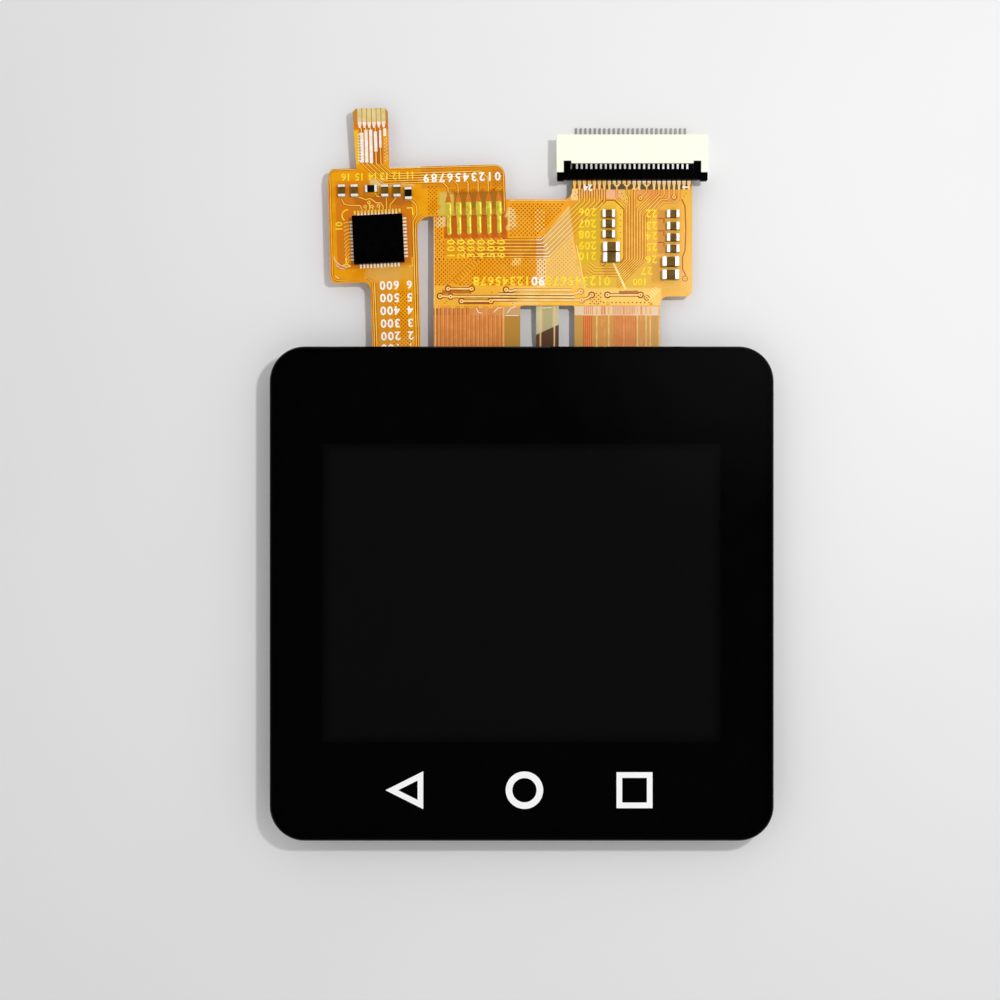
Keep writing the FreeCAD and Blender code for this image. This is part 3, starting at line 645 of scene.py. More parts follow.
class StampTree(GeometryTree):
    """Sets a flat round stamp on each point, for pads, drilled holes and openings in the copper."""

    def __init__(self) -> None:
        """Builds the tree."""
        super().__init__("stamp_on_points", {"Radius": "NodeSocketFloat", "Height": "NodeSocketFloat",
                                             "Sides": "NodeSocketInt"})
        disc = self.node("GeometryNodeMeshCylinder", None,
                         {"Vertices": self.input.outputs["Sides"], "Radius": self.input.outputs["Radius"],
                          "Depth": self.input.outputs["Height"]})
        stamped = self.node("GeometryNodeInstanceOnPoints", None,
                            {"Points": self.input.outputs["Geometry"], "Instance": disc.outputs["Mesh"]})
        self.close(stamped.outputs[0])


def as_object(name: str, mesh: bpy.types.Mesh, material: bpy.types.Material) -> bpy.types.Object:
    """Links a finished mesh as a piece that has one material.

    Args:
        name: The piece's name.
        mesh: Its mesh.
        material: Its material.

    Returns:
        The new object.
    """
    mesh.materials.clear()
    mesh.materials.append(material)
    made = bpy.data.objects.new(name, mesh)
    bpy.context.scene.collection.objects.link(made)
    return made


def dress(frame: dict, node: str, material: bpy.types.Material) -> None:
    """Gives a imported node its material.

    Args:
        frame: The frame as it was loaded.
        node: The node's name.
        material: The material.
    """
    data = frame["nodes"][node].data
    data.materials.clear()
    data.materials.append(material)


def as_mesh(name: str, shape: bmesh.types.BMesh) -> bpy.types.Mesh:
    """Makes a mesh of an edited shape, and frees the shape.

    Args:
        name: The mesh's name.
        shape: The shape.

    Returns:
        The mesh.
    """
    mesh = bpy.data.meshes.new(name)
    shape.to_mesh(mesh)
    shape.free()
    return mesh


def join_rings(shape: bmesh.types.BMesh, rings: list[list[bmesh.types.BMVert]]) -> None:
    """Adds the faces between rings of equally many corners.

    Args:
        shape: The shape that holds them.
        rings: The rings, in order.
    """
    for first, second in zip(rings, rings[1:]):
        for j, corner in enumerate(first):
            after = (j + 1) % len(first)
            shape.faces.new((corner, first[after], second[after], second[j]))


def install(piece: bpy.types.Object) -> bpy.types.Object:
    """Makes a piece ride on the module.

    Args:
        piece: The finished piece.

    Returns:
        The same piece.
    """
    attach(piece, BODY)
    LOG.info("%s: %d faces on %s", piece.name, len(piece.data.polygons), BODY)
    return piece


def solids_of(node: bpy.types.Object) -> list[list[Vector]]:
    """Splits a node's mesh into its separate solids.

    Args:
        node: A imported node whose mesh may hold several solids.

    Returns:
        The corner points of each solid, in millimetres.
    """
    shape = bmesh.new()
    shape.from_mesh(node.data)
    bmesh.ops.remove_doubles(shape, verts=shape.verts, dist=1e-7)
    seen: set[int] = set()
    found = []
    for start in shape.verts:
        if start.index in seen:
            continue
        seen.add(start.index)
        waiting = [start]
        points = []
        while waiting:
            vertex = waiting.pop()
            points.append(vertex.co / MM)
            for edge in vertex.link_edges:
                other = edge.other_vert(vertex)
                if other.index not in seen:
                    seen.add(other.index)
                    waiting.append(other)
        found.append(points)
    shape.free()
    return found


@dataclass
class Film:
    """The upper face of a flex, in the flex's own axes.

    Attributes:
        origin: Where the axes' zero lies, in millimetres; its Z is the level face's height.
        lean: How far the axes are turned, in degrees.
        bend_low: Where the bend under the lens ends, along Y.
        bend_high: Where the bend starts.
        rise: How much higher the far side of the bend lies.
        step: Longest straight piece of a path across the bend.
    """

    origin: Vector
    lean: float = 0.0
    bend_low: float = 0.0
    bend_high: float = 0.0
    rise: float = 0.0
    step: float = 0.12

    def climb(self, y: float) -> float:
        """How far the face lies above its level part at this Y.

        Args:
            y: The place along the flex.

        Returns:
            The height, in millimetres.
        """
        if y >= self.bend_high or not self.rise:
            return 0.0
        if y <= self.bend_low:
            return self.rise
        run = (self.bend_high - self.bend_low) / 2
        half = self.rise / 2
        radius = (run ** 2 + half ** 2) / (2 * half)
        reach = min(y - self.bend_low, self.bend_high - y)
        sag = radius - math.sqrt(radius ** 2 - reach ** 2)
        return self.rise - sag if y - self.bend_low < run else sag

    def matrix(self) -> Matrix:
        """Takes points from the flex's axes to the module's, in millimetres."""
        return Matrix.Translation(self.origin) @ Matrix.Rotation(math.radians(self.lean), 4, "Z")

    def lift(self, mesh: bpy.types.Mesh) -> None:
        """Lays a mesh, made in metres on the level face, on the real one.

        Args:
            mesh: The mesh, which is changed in place.
        """
        matrix = self.matrix()
        for vertex in mesh.vertices:
            point = vertex.co / MM
            point.z += self.climb(point.y)
            vertex.co = (matrix @ point) * MM
        mesh.update()

    def divided(self, path: Path) -> Path:
        """Adds points to a path where it crosses the bend.

        Args:
            path: The path, in the flex's axes.

        Returns:
            The path with its added points.
        """
        points = [path[0]]
        for start, end in zip(path, path[1:]):
            count = 1
            if self.rise and min(start[1], end[1]) < self.bend_high:
                count = max(1, math.ceil(math.dist(start, end) / self.step))
            for i in range(1, count + 1):
                share = i / count
                points.append((start[0] + (end[0] - start[0]) * share,
                               start[1] + (end[1] - start[1]) * share))
        return points


class Artwork:
    """Collects thin shapes for one flex and makes pieces of them."""

    def __init__(self, film: Film, store: Store, ribbon: RibbonTree, stamp: StampTree,
                 looks: dict[str, tuple[str, str]]) -> None:
        """Remembers what it works with.

        Args:
            film: The face that the shapes lie on.
            store: The materials.
            ribbon: The tree for lines.
            stamp: The tree for dots.
            looks: Finish and record slot by piece name.
        """
        self.film = film
        self.store = store
        self.ribbon = ribbon
        self.stamp = stamp
        self.looks = looks
        self.sheets: dict[str, list[bpy.types.Mesh]] = {}

    def material(self, piece: str) -> bpy.types.Material:
        """The material of a piece."""
        return self.store.get(self.looks[piece][0])

    def keep(self, piece: str, mesh: bpy.types.Mesh) -> None:
        """Lays a mesh on the film and keeps it for a piece."""
        self.film.lift(mesh)
        self.sheets.setdefault(piece, []).append(mesh)

    def seed(self, paths: list[Path], height: float) -> bpy.types.Mesh:
        """A mesh of loose points and edges at half a layer's height.

        Args:
            paths: The paths; a path of one point gives a loose point.
            height: The layer's height, in millimetres.

        Returns:
            The mesh, in metres.
        """
        points = []
        edges = []
        for path in paths:
            first = len(points)
            points += [Vector((x, y, height / 2)) * MM for x, y in path]
            edges += [(first + i, first + i + 1) for i in range(len(path) - 1)]
        mesh = bpy.data.meshes.new("seed")
        mesh.from_pydata(points, edges, [])
        return mesh

    def lines(self, piece: str, width: float, level: Level, paths: list[Path]) -> None:
        """Adds ribbons.

        Args:
            piece: The piece that they belong to.
            width: The ribbons' width, in millimetres.
            level: The layer that they lie in.
            paths: Their middle lines.
        """
        laid = [self.film.divided(path) for path in paths]
        values = {"Width": width * MM, "Height": level.value * MM, "Material": self.material(piece)}
        self.keep(piece, self.ribbon.run(self.seed(laid, level.value), values))

    def dots(self, piece: str, radius: float, level: Level, points: Path, sides: int = 18) -> None:
        """Adds round stamps of one radius at points.

        Args:
            piece: The piece that they belong to.
            radius: Their radius, in millimetres.
            level: The layer that they lie in.
            points: Their middles.
            sides: How many sides each has.
        """
        values = {"Radius": radius * MM, "Height": level.value * MM, "Sides": sides,
                  "Material": self.material(piece)}
        self.keep(piece, self.stamp.run(self.seed([[point] for point in points], level.value), values))

    def number(self, piece: str, text: str, at: Point, size: float, turn: Turn, spread: float = 1.0) -> None:
        """Prints a plain number.

        Args:
            piece: The piece that it belongs to.
            text: Its digits.
            at: Its middle.
            size: The type's size, in millimetres.
            turn: How it is turned.
            spread: Spacing of its digits, as a share of the type's own.
        """
        curve = bpy.data.curves.new("digits", "FONT")
        curve.body = text
        curve.space_character = spread
        curve.size = size * MM
        curve.extrude = Level.PRINT.value * MM / 2
        curve.offset = size * MM * BOLD
        curve.resolution_u = 2
        curve.align_x = "CENTER"
        curve.align_y = "CENTER"
        carrier = bpy.data.objects.new("digits", curve)
        bpy.context.scene.collection.objects.link(carrier)
        graph = bpy.context.evaluated_depsgraph_get()
        mesh = bpy.data.meshes.new_from_object(carrier.evaluated_get(graph))
        bpy.data.objects.remove(carrier)
        bpy.data.curves.remove(curve)
        place = Matrix.Translation(Vector((*at, Level.PRINT.value / 2)) * MM)
        mesh.transform(place @ Matrix.Rotation(math.radians(turn.value), 4, "Z"))
        self.keep(piece, mesh)

    def build(self) -> None:
        """Joins what was collected for each piece."""
        for piece, meshes in self.sheets.items():
            shape = bmesh.new()
            for mesh in meshes:
                shape.from_mesh(mesh)
                bpy.data.meshes.remove(mesh)
            for face in shape.faces:
                face.material_index = 0
            install(as_object(piece, as_mesh(piece, shape), self.material(piece)))


def lattice(left: float, right: float, low: float, high: float, pitch: float) -> Path:
    """Points of a square net that stands on its corner.

    Args:
        left: Lowest X.
        right: Highest X.
        low: Lowest Y.
        high: Highest Y.
        pitch: Distance between points of one row.

    Returns:
        The points, row by row, each row shifted by half a pitch from the last.
    """
    points = []
    for row in range(int((high - low) / (pitch / 2)) + 1):
        shift = pitch / 2 if row % 2 else 0.0
        for column in range(int((right - left - shift) / pitch) + 1):
            points.append((left + shift + column * pitch, low + row * pitch / 2))
    return points


def slash(x: float, y: float, reach: float) -> Path:
    """A short straight stroke through a point, which falls to the right."""
    return [(x - reach, y + reach), (x + reach, y - reach)]


def arc(middle: Point, radius: float, start: float, end: float, count: int = 8) -> Path:
    """Points along an arc, with its angles in degrees."""
    angles = [math.radians(start + (end - start) * i / count) for i in range(count + 1)]
    return [(middle[0] + radius * math.cos(a), middle[1] + radius * math.sin(a)) for a in angles]


# Finish and record slot of each piece
DISPLAY_LOOKS: dict[str, tuple[str, str]] = {
    **{piece: (finish, "amber_flex") for piece, finish in {
        "display_gaps": "display_gap", "display_deep_gaps": "display_deep_gap",
        "display_lines": "display_copper", "display_drills": "deep_gap",
        "display_low_lines": "pale_copper", "display_sheen": "sheen_line", "display_mesh": "bare_gap",
        "display_sheen_mesh": "sheen_gap", "tail_line": "tail_line", "tail_line_broad": "tail_line",
        "tail_line_pale": "tail_line_pale", "display_film_edges": "film_edge",
        "display_glints": "bright_line", "display_joint_tips": "joint_pad",
        "display_print_yellow": "yellow_print"}.items()},
    "display_stubs": ("pale_copper", "gilt_pads"), "display_fingers": ("gilt_pads", "gilt_pads"),
    "display_print_white": ("white_print", "white_ink"),
}


@dataclass
class Part:
    """A sub-assembly that takes its materials from the store."""

    store: Store


@dataclass
class Flex(Part):
    """A flex that is dressed and gets thin shapes: copper, openings, drilled holes and print.

    Its sizes ending in w are widths of ribbons, in r radii of stamps, and in pitch distances from
    one to the next. Its places are in the flex's own axes.

    Attributes:
        film: The flex's upper face.
        art: Collects the thin shapes.
    """

    film: Film
    art: Artwork


# Lines between the drilled pads along the board's lower edge
LOW_LINES: list[Path] = [
    [(-7.65, 6.25), (-5.2, 6.25)],
    [(-6.25, 4.95), (-3.2, 4.95), (-2.95, 5.08), (-1.2, 5.08)],
    [(-8.5, 5.48), (-7.4, 5.42), (-2.3, 5.42), (5.6, 5.36)],
    [(9.0, 5.6), (12.45, 5.6)],
    [(-1.6, 6.15), (-1.15, 5.98), (-0.7, 6.12), (5.2, 6.12)],
    [(-2.4, 5.7), (5.3, 5.66), (6.2, 5.95)],
    [(-1.2, 5.08), (5.6, 5.04), (6.3, 5.05)],
    [(7.35, 5.6), (6.9, 5.25), (6.3, 5.05)],
]

# Places of the scalloped pads along the board's lower edge
ROW_PADS: Path = [(x, 4.42) for x in (-8.67, -7.15, -6.2, -5.25, -4.3, -3.2)] + [(9.05, 4.6), (13.55, 4.6)]

# Gaps that run round the left capacitors and up the right border
CONTOURS: list[Path] = [
    [(7.9, 14.9), (8.55, 15.5), (9.75, 15.5), (10.72, 14.55), (10.72, 9.4), (10.3, 8.95)],
    [(16.75, 15.6), (17.1, 14.9), (17.2, 12.4), (17.1, 10.2), (16.85, 9.6), (16.85, 8.3),
     (17.2, 7.6)],
    [(14.3, 13.6), (14.9, 13.6), (14.9, 13.1)], [(14.3, 12.3), (14.9, 12.3), (14.9, 11.8)],
    [(14.3, 11.1), (14.9, 11.1), (14.9, 10.7)],
]

# The crease across the board, drawn as a painted highlight along the fold
CREASE_HIGHLIGHT: Path = [(5.75, 10.8), (6.13, 9.0), (6.4, 7.6), (6.66, 6.3)]


def crease_patches(sheen_tint: Tint, beyond: Tint) -> tuple[Patch, ...]:
    """Patches of the painted sheen left of the crease and of what lies right of it.

    Args:
        sheen_tint: Colour of the painted sheen, where the film's tilted stretch reflects the light.
        beyond: Colour right of the crease.

    Returns:
        The patches, in the order that they are laid.
    """
    # The first two patches are painted sheen on the tilted stretch left of the crease.
    return (Patch(2.25, 6.2, 11.6, 15.1, sheen_tint, soft=0.3, share=0.9, slant=0.82),
            Patch(2.35, 7.0, 6.3, 11.9, sheen_tint, soft=0.35, share=0.85, ragged=0.1),
            Patch(5.5, 9.0, 11.4, 15.7, beyond, soft=0.18, slant=-0.14),
            Patch(6.68, 9.0, 6.2, 11.5, beyond, soft=0.18, slant=-0.24))


FLUX = (238, 206, 132)

# The film's patches, in the order that they are laid
DISPLAY_PATCHES: tuple[Patch, ...] = (
    Patch(8.85, 18.0, 4.5, 15.6, (237, 175, 60), soft=2.0),
    Patch(8.8, 16.6, 6.1, 9.2, (232, 176, 60), soft=0.8, share=0.8, ragged=0.5),
    # Painted sheen on the film's tilted stretch beside the crease, and the colour right of it.
    *crease_patches((246, 200, 112), (236, 158, 44)),
    Patch(5.9, 8.9, 8.6, 15.1, (229, 180, 38), soft=0.9, ragged=0.5),
    Patch(6.4, 8.9, 9.0, 14.8, (212, 172, 38), soft=0.5, share=0.55, ragged=2.2),
    Patch(6.6, 10.6, 6.3, 9.0, (226, 180, 56), soft=0.5, share=0.8, ragged=0.5),
    # Painted reflection: a pale band where the curling film mirrors the light beside the joints' bends.
    Patch(1.6, 2.5, 6.3, 9.4, (252, 226, 172), soft=0.3, share=0.8),
    Patch(1.7, 2.35, 9.4, 11.6, (250, 214, 140), soft=0.4, share=0.6, ragged=0.3),
    Patch(-8.1, -1.4, 9.6, 11.45, (224, 146, 30), soft=0.25, share=0.85, ragged=0.2),
    Patch(-8.1, -1.45, 11.5, 14.4, (208, 104, 24), soft=0.15),
    Patch(-7.9, -1.6, 11.7, 14.2, (170, 84, 22), soft=0.4, share=0.45, ragged=2.4),
    Patch(-8.85, -7.85, 12.8, 14.6, FLUX, soft=0.35, share=0.9, ragged=1.3),
    Patch(-1.5, -0.6, 12.6, 14.7, FLUX, soft=0.35, share=0.9, ragged=1.3),
    # Painted highlight: pale glints on the film.
    Patch(-1.1, -0.2, 8.7, 9.8, (252, 214, 120), soft=0.3, share=0.8, slant=0.4),
    Patch(6.1, 8.8, 15.8, 16.8, (238, 176, 120), soft=0.4, share=0.7, ragged=0.3),
    Patch(8.85, 10.4, 15.7, 16.75, (244, 182, 146), soft=0.25, share=0.85, ragged=0.3),
    Patch(10.4, 11.3, 15.3, 16.9, (236, 190, 86), soft=0.25, ragged=0.4),
    Patch(11.9, 13.9, 15.6, 16.75, (236, 154, 92), soft=0.4, share=0.8, ragged=0.5),
    Patch(13.4, 16.2, 15.3, 16.75, (232, 146, 72), soft=0.4, share=0.8, ragged=0.5),
    # The next three darken the strip just below the slider; the grey-brown band is painted shadow of the
    # slider.
    Patch(5.2, 17.8, 16.95, 17.9, (116, 58, 18), soft=0.2),
    Patch(5.2, 8.9, 16.7, 17.9, (140, 78, 30), soft=0.25),
    Patch(8.85, 17.55, 16.62, 17.2, (96, 80, 52)),
    Patch(5.19, 6.0, 15.5, 16.7, (248, 208, 136), soft=0.14),
    Patch(16.75, 18.0, 6.0, 16.6, (239, 179, 58), soft=0.3),
    Patch(14.2, 15.15, 9.9, 14.5, (206, 136, 48), soft=0.3, share=0.75, ragged=0.3),
    Patch(13.6, 14.9, 6.9, 9.6, (208, 150, 44), soft=0.5, share=0.7, ragged=0.5),
    Patch(8.3, 10.7, 9.0, 15.5, (242, 188, 56), soft=0.3, share=0.9, ragged=0.3),
    Patch(9.95, 10.65, 9.2, 15.2, (250, 202, 62), soft=0.15, share=0.8, ragged=0.5),
    Patch(8.5, 10.1, 11.3, 14.5, (196, 122, 34), soft=0.3, share=0.35, ragged=0.5),
    Patch(6.6, 13.0, 6.2, 7.7, (226, 184, 60), soft=0.5, share=0.6, ragged=0.6),
    Patch(-9.2, 6.6, 4.5, 6.5, (252, 196, 74), soft=0.3, share=0.85),
    Patch(-9.2, -2.2, 4.5, 6.4, (236, 168, 52), soft=0.5, share=0.6),
    Patch(6.6, 14.6, 4.5, 6.3, (250, 208, 108), soft=0.3, share=0.85),
    Patch(-1.2, 1.8, 4.6, 6.3, (248, 212, 136), soft=0.8, share=0.7, ragged=0.5),
    Patch(-8.3, -5.2, 5.75, 6.1, (176, 84, 34), soft=0.12, share=0.8, ragged=0.3),
    Patch(-6.0, -3.2, 4.62, 4.8, (146, 68, 26), soft=0.08, share=0.9),
    Patch(10.2, 12.2, 5.75, 6.05, (170, 88, 44), share=0.85, ragged=0.2),
    Patch(-9.3, 0.0, -5.0, 4.2, (198, 118, 56), soft=0.12),
    Patch(-9.3, -5.4, 3.5, 4.2, (156, 92, 40), share=0.7),
    Patch(-5.3, -1.8, 3.5, 4.2, (214, 170, 112), share=0.55, ragged=0.3),
    Patch(-1.72, -0.1, -5.0, 3.45, (186, 136, 58)),
    Patch(-1.9, 0.0, 3.45, 4.3, (206, 164, 112), soft=0.12, share=0.9, ragged=0.2),
    Patch(5.4, 14.6, -5.0, 4.45, (202, 152, 76), soft=0.08),
    Patch(6.45, 7.5, -5.0, 4.45, (212, 104, 50), soft=0.06),
    Patch(9.55, 12.0, -5.0, 4.45, (208, 126, 66), soft=0.06),
    Patch(5.5, 14.55, 3.52, 4.42, (238, 212, 180), soft=0.08, share=0.8, ragged=0.1),
)


@dataclass
class DisplayFlex(Flex):
    """The main flex, with the lines from the connector to the joints and the capacitors.

    Attributes:
        first_contact: X of the connector's leftmost contact.
        left: The film's left border.
        mesh_hole: Radius of an opening in the ground copper, and faint_hole of one under the painted sheen
            beside the crease.
        contacts: How many contacts the connector has.
        forks: Left one of each pair of fingers that join.
        column_x: Leftmost of the lines that run down between the capacitors.
        level_high: Where the highest of them turns to the left.
        joint_level: Where the first joint's line runs level, and joint_turn_x where it ends to do so.
        dash_at: Lowest of the strokes that cross the ground copper, and dash_step the way to the next.
        board_low: The board's lower edge, from where the tails run to tail_end.
    """

    first_contact: float
    left: float = -9.18
    mesh_pitch: float = 0.43
    mesh_hole: float = 0.092
    faint_hole: float = 0.0828
    line_w: float = 0.16
    low_line_w: float = 0.184
    gap_w: float = 0.26
    joint_gap_w: float = 0.33
    deep_gap_w: float = 0.36
    contour_w: float = 0.12
    arm_w: float = 0.2
    long_finger_w: float = 0.3
    dash_w: float = 0.08
    film_edge_w: float = 0.07
    sheen_w: float = 0.2
    stripe_w: float = 0.08
    crease_w: float = 0.09
    glint_w: float = 0.07
    finger_glint_w: float = 0.14
    speck_r: float = 0.075
    contacts: int = 24
    contact_pitch: float = 0.5
    finger_pitch: float = 0.52
    finger_w: float = 0.37
    finger_top: float = 20.6
    finger_from: float = 17.66
    finger_low: float = 17.2
    fork_y: float = 16.95
    forks: tuple[int, ...] = (8, 10, 14)
    column_x: float = 11.0
    column_pitch: float = 0.28
    joint_x: float = -7.53
    joint_low: float = 11.85
    joint_level: float = 11.35
    joint_level_pitch: float = 0.35
    joint_turn_x: float = 2.05
    dash_at: Point = (-6.94, 6.95)
    dash_step: Point = (0.25, 0.24)
    column_low: float = 9.35
    level_high: float = 8.5
    level_pitch: float = 0.3
    via_r: float = 0.22
    via_gap_r: float = 0.36
    high_via_gap_r: float = 0.31
    drill_r: float = 0.07
    small_drill_r: float = 0.0525
    board_low: float = 4.5
    tail_end: float = -1.6

    def contact(self, index: float) -> float:
        """X of a contact, counted from the left."""
        return self.first_contact + self.contact_pitch * index

    def finger(self, index: float) -> float:
        """X of a contact's line below the connector, where the row is a little wider."""
        middle = (self.contacts - 1) / 2
        return self.contact(middle) + self.finger_pitch * (index - middle)

    def joint_turn(self, index: int) -> Point:
        """Where a joint's line leaves its level run, counted from the right."""
        return (self.joint_turn_x + (self.finger_pitch - self.joint_level_pitch) * index,
                self.joint_level - self.joint_level_pitch * index)

    def joint_lines(self) -> list[Path]:
        """Lines from the six solder joints to the left fingers.

        Returns:
            Their middle lines.
        """
        paths = []
        start = self.joint_low - 0.15
        for k in range(JOINTS):
            corner_x, level = self.joint_turn(k)
            x = self.joint_x + JOINT_PITCH * (JOINTS - 1 - k)
            end_x = self.finger(k + 1)
            paths.append([(x, self.joint_low), (x, start), (x + start - level, level),
                          (corner_x, level), (end_x, level + end_x - corner_x),
                          (end_x, self.finger_low)])
        return paths

    def fork_arms(self) -> list[Path]:
        """Pairs of neighbouring fingers that join.

        Returns:
            Their middle lines.
        """
        paths = []
        shoulder = (self.finger_low + self.fork_y) / 2
        for i in self.forks:
            left, right = self.finger(i), self.finger(i + 1)
            lean = (right - left) / 5
            paths.append([(left, self.finger_low), (left + lean, shoulder),
                          ((left + right) / 2, self.fork_y), (right - lean, shoulder),
                          (right, self.finger_low)])
        return paths

    def stubs(self) -> list[tuple[float, list[Path]]]:
        """The visible ends of the fingers, each a stack of widths that narrows downwards.

        Returns:
            Width and middle lines of each layer of the stack.
        """
        merged = [i + side for i in self.forks for side in (0, 1)]
        single = [self.finger(i) for i in range(self.contacts) if i not in merged]
        stack = [(self.finger_w, [[(self.finger(i), self.finger_low), (self.finger(i), self.finger_from)]
                                  for i in range(self.contacts)])]
        high = self.finger_low
        taper = ((0.31, 0.1), (0.26, 0.14), (0.22, 0.36))
        for width, length in taper:
            stack.append((width, [[(x, high), (x, high - length)] for x in single]))
            high -= length
        return stack

    def column_lines(self) -> list[Path]:
        """Lines from the right fingers down between the capacitors, then to the left.

        Returns:
            Their middle lines.
        """
        def top(index: float, low: float) -> Path:
            """The straight upper end of a finger's line."""
            high = self.fork_y + 0.03 if index % 1 else self.finger_low
            return [(self.finger(index), high), (self.finger(index), low)]
        heads = [
            top(8.5, 15.84), top(10.5, 16.2), top(12, 16.85), top(13, 16.95) + [(11.9, 16.55)],
            top(16, 16.25), top(17, 16.15), top(18, 16.05) + [(14.7, 15.85), (14.45, 15.85)],
            top(19, 15.75) + [(15.2, 15.55), (14.6, 15.55)],
        ]
        drops = [14.79, 15.85, 16.6, 16.4, 14.6, 14.25, 13.95, 13.8]
        paths = []
        for k, (head, drop) in enumerate(zip(heads, drops)):
            x = self.column_x + self.column_pitch * k
            level = self.level_high - self.level_pitch * k
            corner = x - (self.column_low - level)
            tail = [(x, drop), (x, self.column_low), (corner, level)]
            if k < 4:
                tail += [(7.75 - 0.1 * k, level), (7.15 - 0.1 * k, level + 0.5)]
            paths.append(head + tail)
        paths.append(top(14.5, 16.4) + [(12.5, 15.78)])
        paths.append(top(20, 15.85))
        paths.append(top(21, 15.65) + [(16.15, 15.3), (14.85, 15.3), (13.24, 13.6), (13.24, 13.2)])
        return paths

    def drilled(self) -> Path:
        """Places of the drilled pads, on ends and turns of the low lines.

        Returns:
            The pads' middles.
        """
        low = LOW_LINES
        return low[0] + low[1][:2] + low[2][:2] + low[3] + [low[4][0], low[5][-1], low[7][0], low[7][-1]]

    def high_vias(self) -> Path:
        """Places of the plain vias above the lower rows."""
        return [(12.45, 15.73), (self.finger(20), 15.85), (8.5, 8.95), (17.1, 7.3), (13.1, 5.3)]

    def small_holes(self) -> Path:
        """Places of the bare drilled holes.

        Returns:
            The holes' middles.
        """
        spots = [(-8.0, 4.75), (-7.8, 4.95), (-0.9, 4.75), (7.9, 4.65), (13.55, 4.75), (-3.1, 5.85)]
        spots += [(5.65, 16.35), (5.85, 16.12), (5.6, 15.95), (17.2, 16.2), (17.0, 15.9)]
        spots += [(10.5, 16.2), (10.7, 15.9), (11.0, 15.6), (10.75, 15.5)]
        return spots + [(10.35, 14.6 - 0.62 * i) for i in range(6)]

    def tail_lines(self) -> dict[str, list[Path]]:
        """Lines of the two tails, by finish.

        Returns:
            The lines by the name of their piece.
        """
        def run(x: float) -> Path:
            """One line down a tail."""
            return [(x, self.board_low - 0.1), (x, self.tail_end)]
        pale = [run(x) for x in (-9.0, -1.86, 7.88, 9.13, 12.13, 13.03, 13.47, 14.41)]
        broad = [run(-8.62 + 0.455 * i) for i in range(15)]
        broad += [run(x) for x in (8.41, 8.69, 10.7, 12.54)]
        fine = [run(-8.36 + 0.455 * i) for i in range(15)]
        fine += [run(6.63 + 0.2 * i) for i in range(5)]
        fine += [run(9.6 + 0.2 * i) for i in range(5)]
        fine += [run(10.95 + 0.17 * i) for i in range(6)]
        return {"tail_line_pale": pale, "tail_line_broad": broad, "tail_line": fine}

    def mesh_openings(self) -> Path:
        """Openings of the ground copper.

        Returns:
            The openings' middles.
        """
        pitch = self.mesh_pitch
        points = lattice(-9.0, -8.15, 11.4, 14.6, pitch)
        points += lattice(-9.0, -8.0, 9.4, 11.3, pitch)
        slope = self.dash_step[1] / self.dash_step[0]
        points += [(x, y) for x, y in lattice(-9.0, 2.5, 6.7, 9.3, pitch)
                   if y > 9.2 or abs(y - self.dash_at[1] - slope * (x - self.dash_at[0])) > 0.42]
        band = lattice(7.2, 8.3, 4.7, 5.9, pitch) + lattice(8.6, 13.4, 4.8, 5.0, pitch)
        return points + self.slope_net() + band

    def slope_net(self) -> Path:
        """The net above the joints' lines, which ends on a slope."""
        net = lattice(-1.1, 5.1, 11.85, 15.2, self.mesh_pitch)
        return [(x, y) for x, y in net if y > 15.4 + (x - 4.98) * 1.067]

    def net_glints(self) -> Path:
        """Bright specks between the net's openings, where the flex starts to curl.

        Returns:
            The specks' middles.
        """
        shift = self.mesh_pitch / 2
        spots = [(x + shift, y) for x, y in self.slope_net()]
        return [(x, y) for x, y in spots if 1.4 < x < 2.5 and 12.1 < y < 14.5]

    def faint_openings(self) -> Path:
        """Openings under the painted sheen beside the crease, drawn in a paler gap colour."""
        spots = lattice(2.7, 6.4, 6.6, 12.2, self.mesh_pitch)
        return [(x, y) for x, y in spots if x < 6.45 - 0.24 * (y - 6.2) and y < 9.1 + (x - 2.9)]

    def dashes(self) -> list[Path]:
        """The short slanted strokes that cross the ground copper."""
        (x, y), (step_x, step_y) = self.dash_at, self.dash_step
        return [slash(x + step_x * i, y + step_y * i, 0.2) for i in range(11)]

    def corner_stripes(self) -> list[Path]:
        """Pale slanted strokes at the step of the outline."""
        return [slash(13.2 + 0.2 * i, 5.35 + 0.17 * i, 0.22) for i in range(6)]

    def glints(self) -> list[Path]:
        """Bright reflections on joint lines and film edges.

        Returns:
            Their middle lines.
        """
        bends = [[(1.55, y), (x, y), (x + 0.25, y + 0.25)] for x, y in map(self.joint_turn, range(JOINTS))]
        return bends + [
            [(-1.7, 3.44), (-0.25, 3.44)],
            [(-4.7, 4.2), (-4.5, 3.75), (-4.1, 3.7)], [(-2.9, 3.75), (-2.5, 4.2), (-2.0, 4.3)],
            [(-1.5, 3.7), (-1.1, 4.2), (-0.6, 4.4)], [(2.1, 4.2), (3.2, 4.3)],
        ]

    def finger_glints(self) -> list[Path]:
        """Bright reflections across the fingers, just below the slider.

        Returns:
            Their middle lines.
        """
        y = 17.44
        paths = []
        for i in range(7, self.contacts):
            half = 0.19 if i > 11 else 0.1
            paths.append([(self.finger(i) - half, y), (self.finger(i) + half, y)])
        return paths

    def joint_tips(self) -> list[tuple[float, list[Path]]]:
        """The orange pads below the joints, each a stack of widths that narrows downwards.

        Returns:
            Width and middle lines of each layer of the stack.
        """
        width, narrowing, length, step = 0.42, 0.08, 0.14, 0.13
        xs = [self.joint_x + 0.02 + JOINT_PITCH * i for i in range(JOINTS)]
        stack = []
        for k in range(4):
            high = self.joint_low + 0.12 - step * k
            stack.append((width - narrowing * k, [[(x, high), (x, high - length)] for x in xs]))
        return stack

    def cover_paths(self) -> list[Path]:
        """Edges of the cover film and the light borders.

        Returns:
            Their middle lines.
        """
        return [
            [(5.65, 3.5), (14.45, 3.5)],
            [(self.left + 0.08, 4.6), (self.left + 0.08, 15.3)],
            [(-1.2, 15.5), (5.0, 15.5)],
        ]

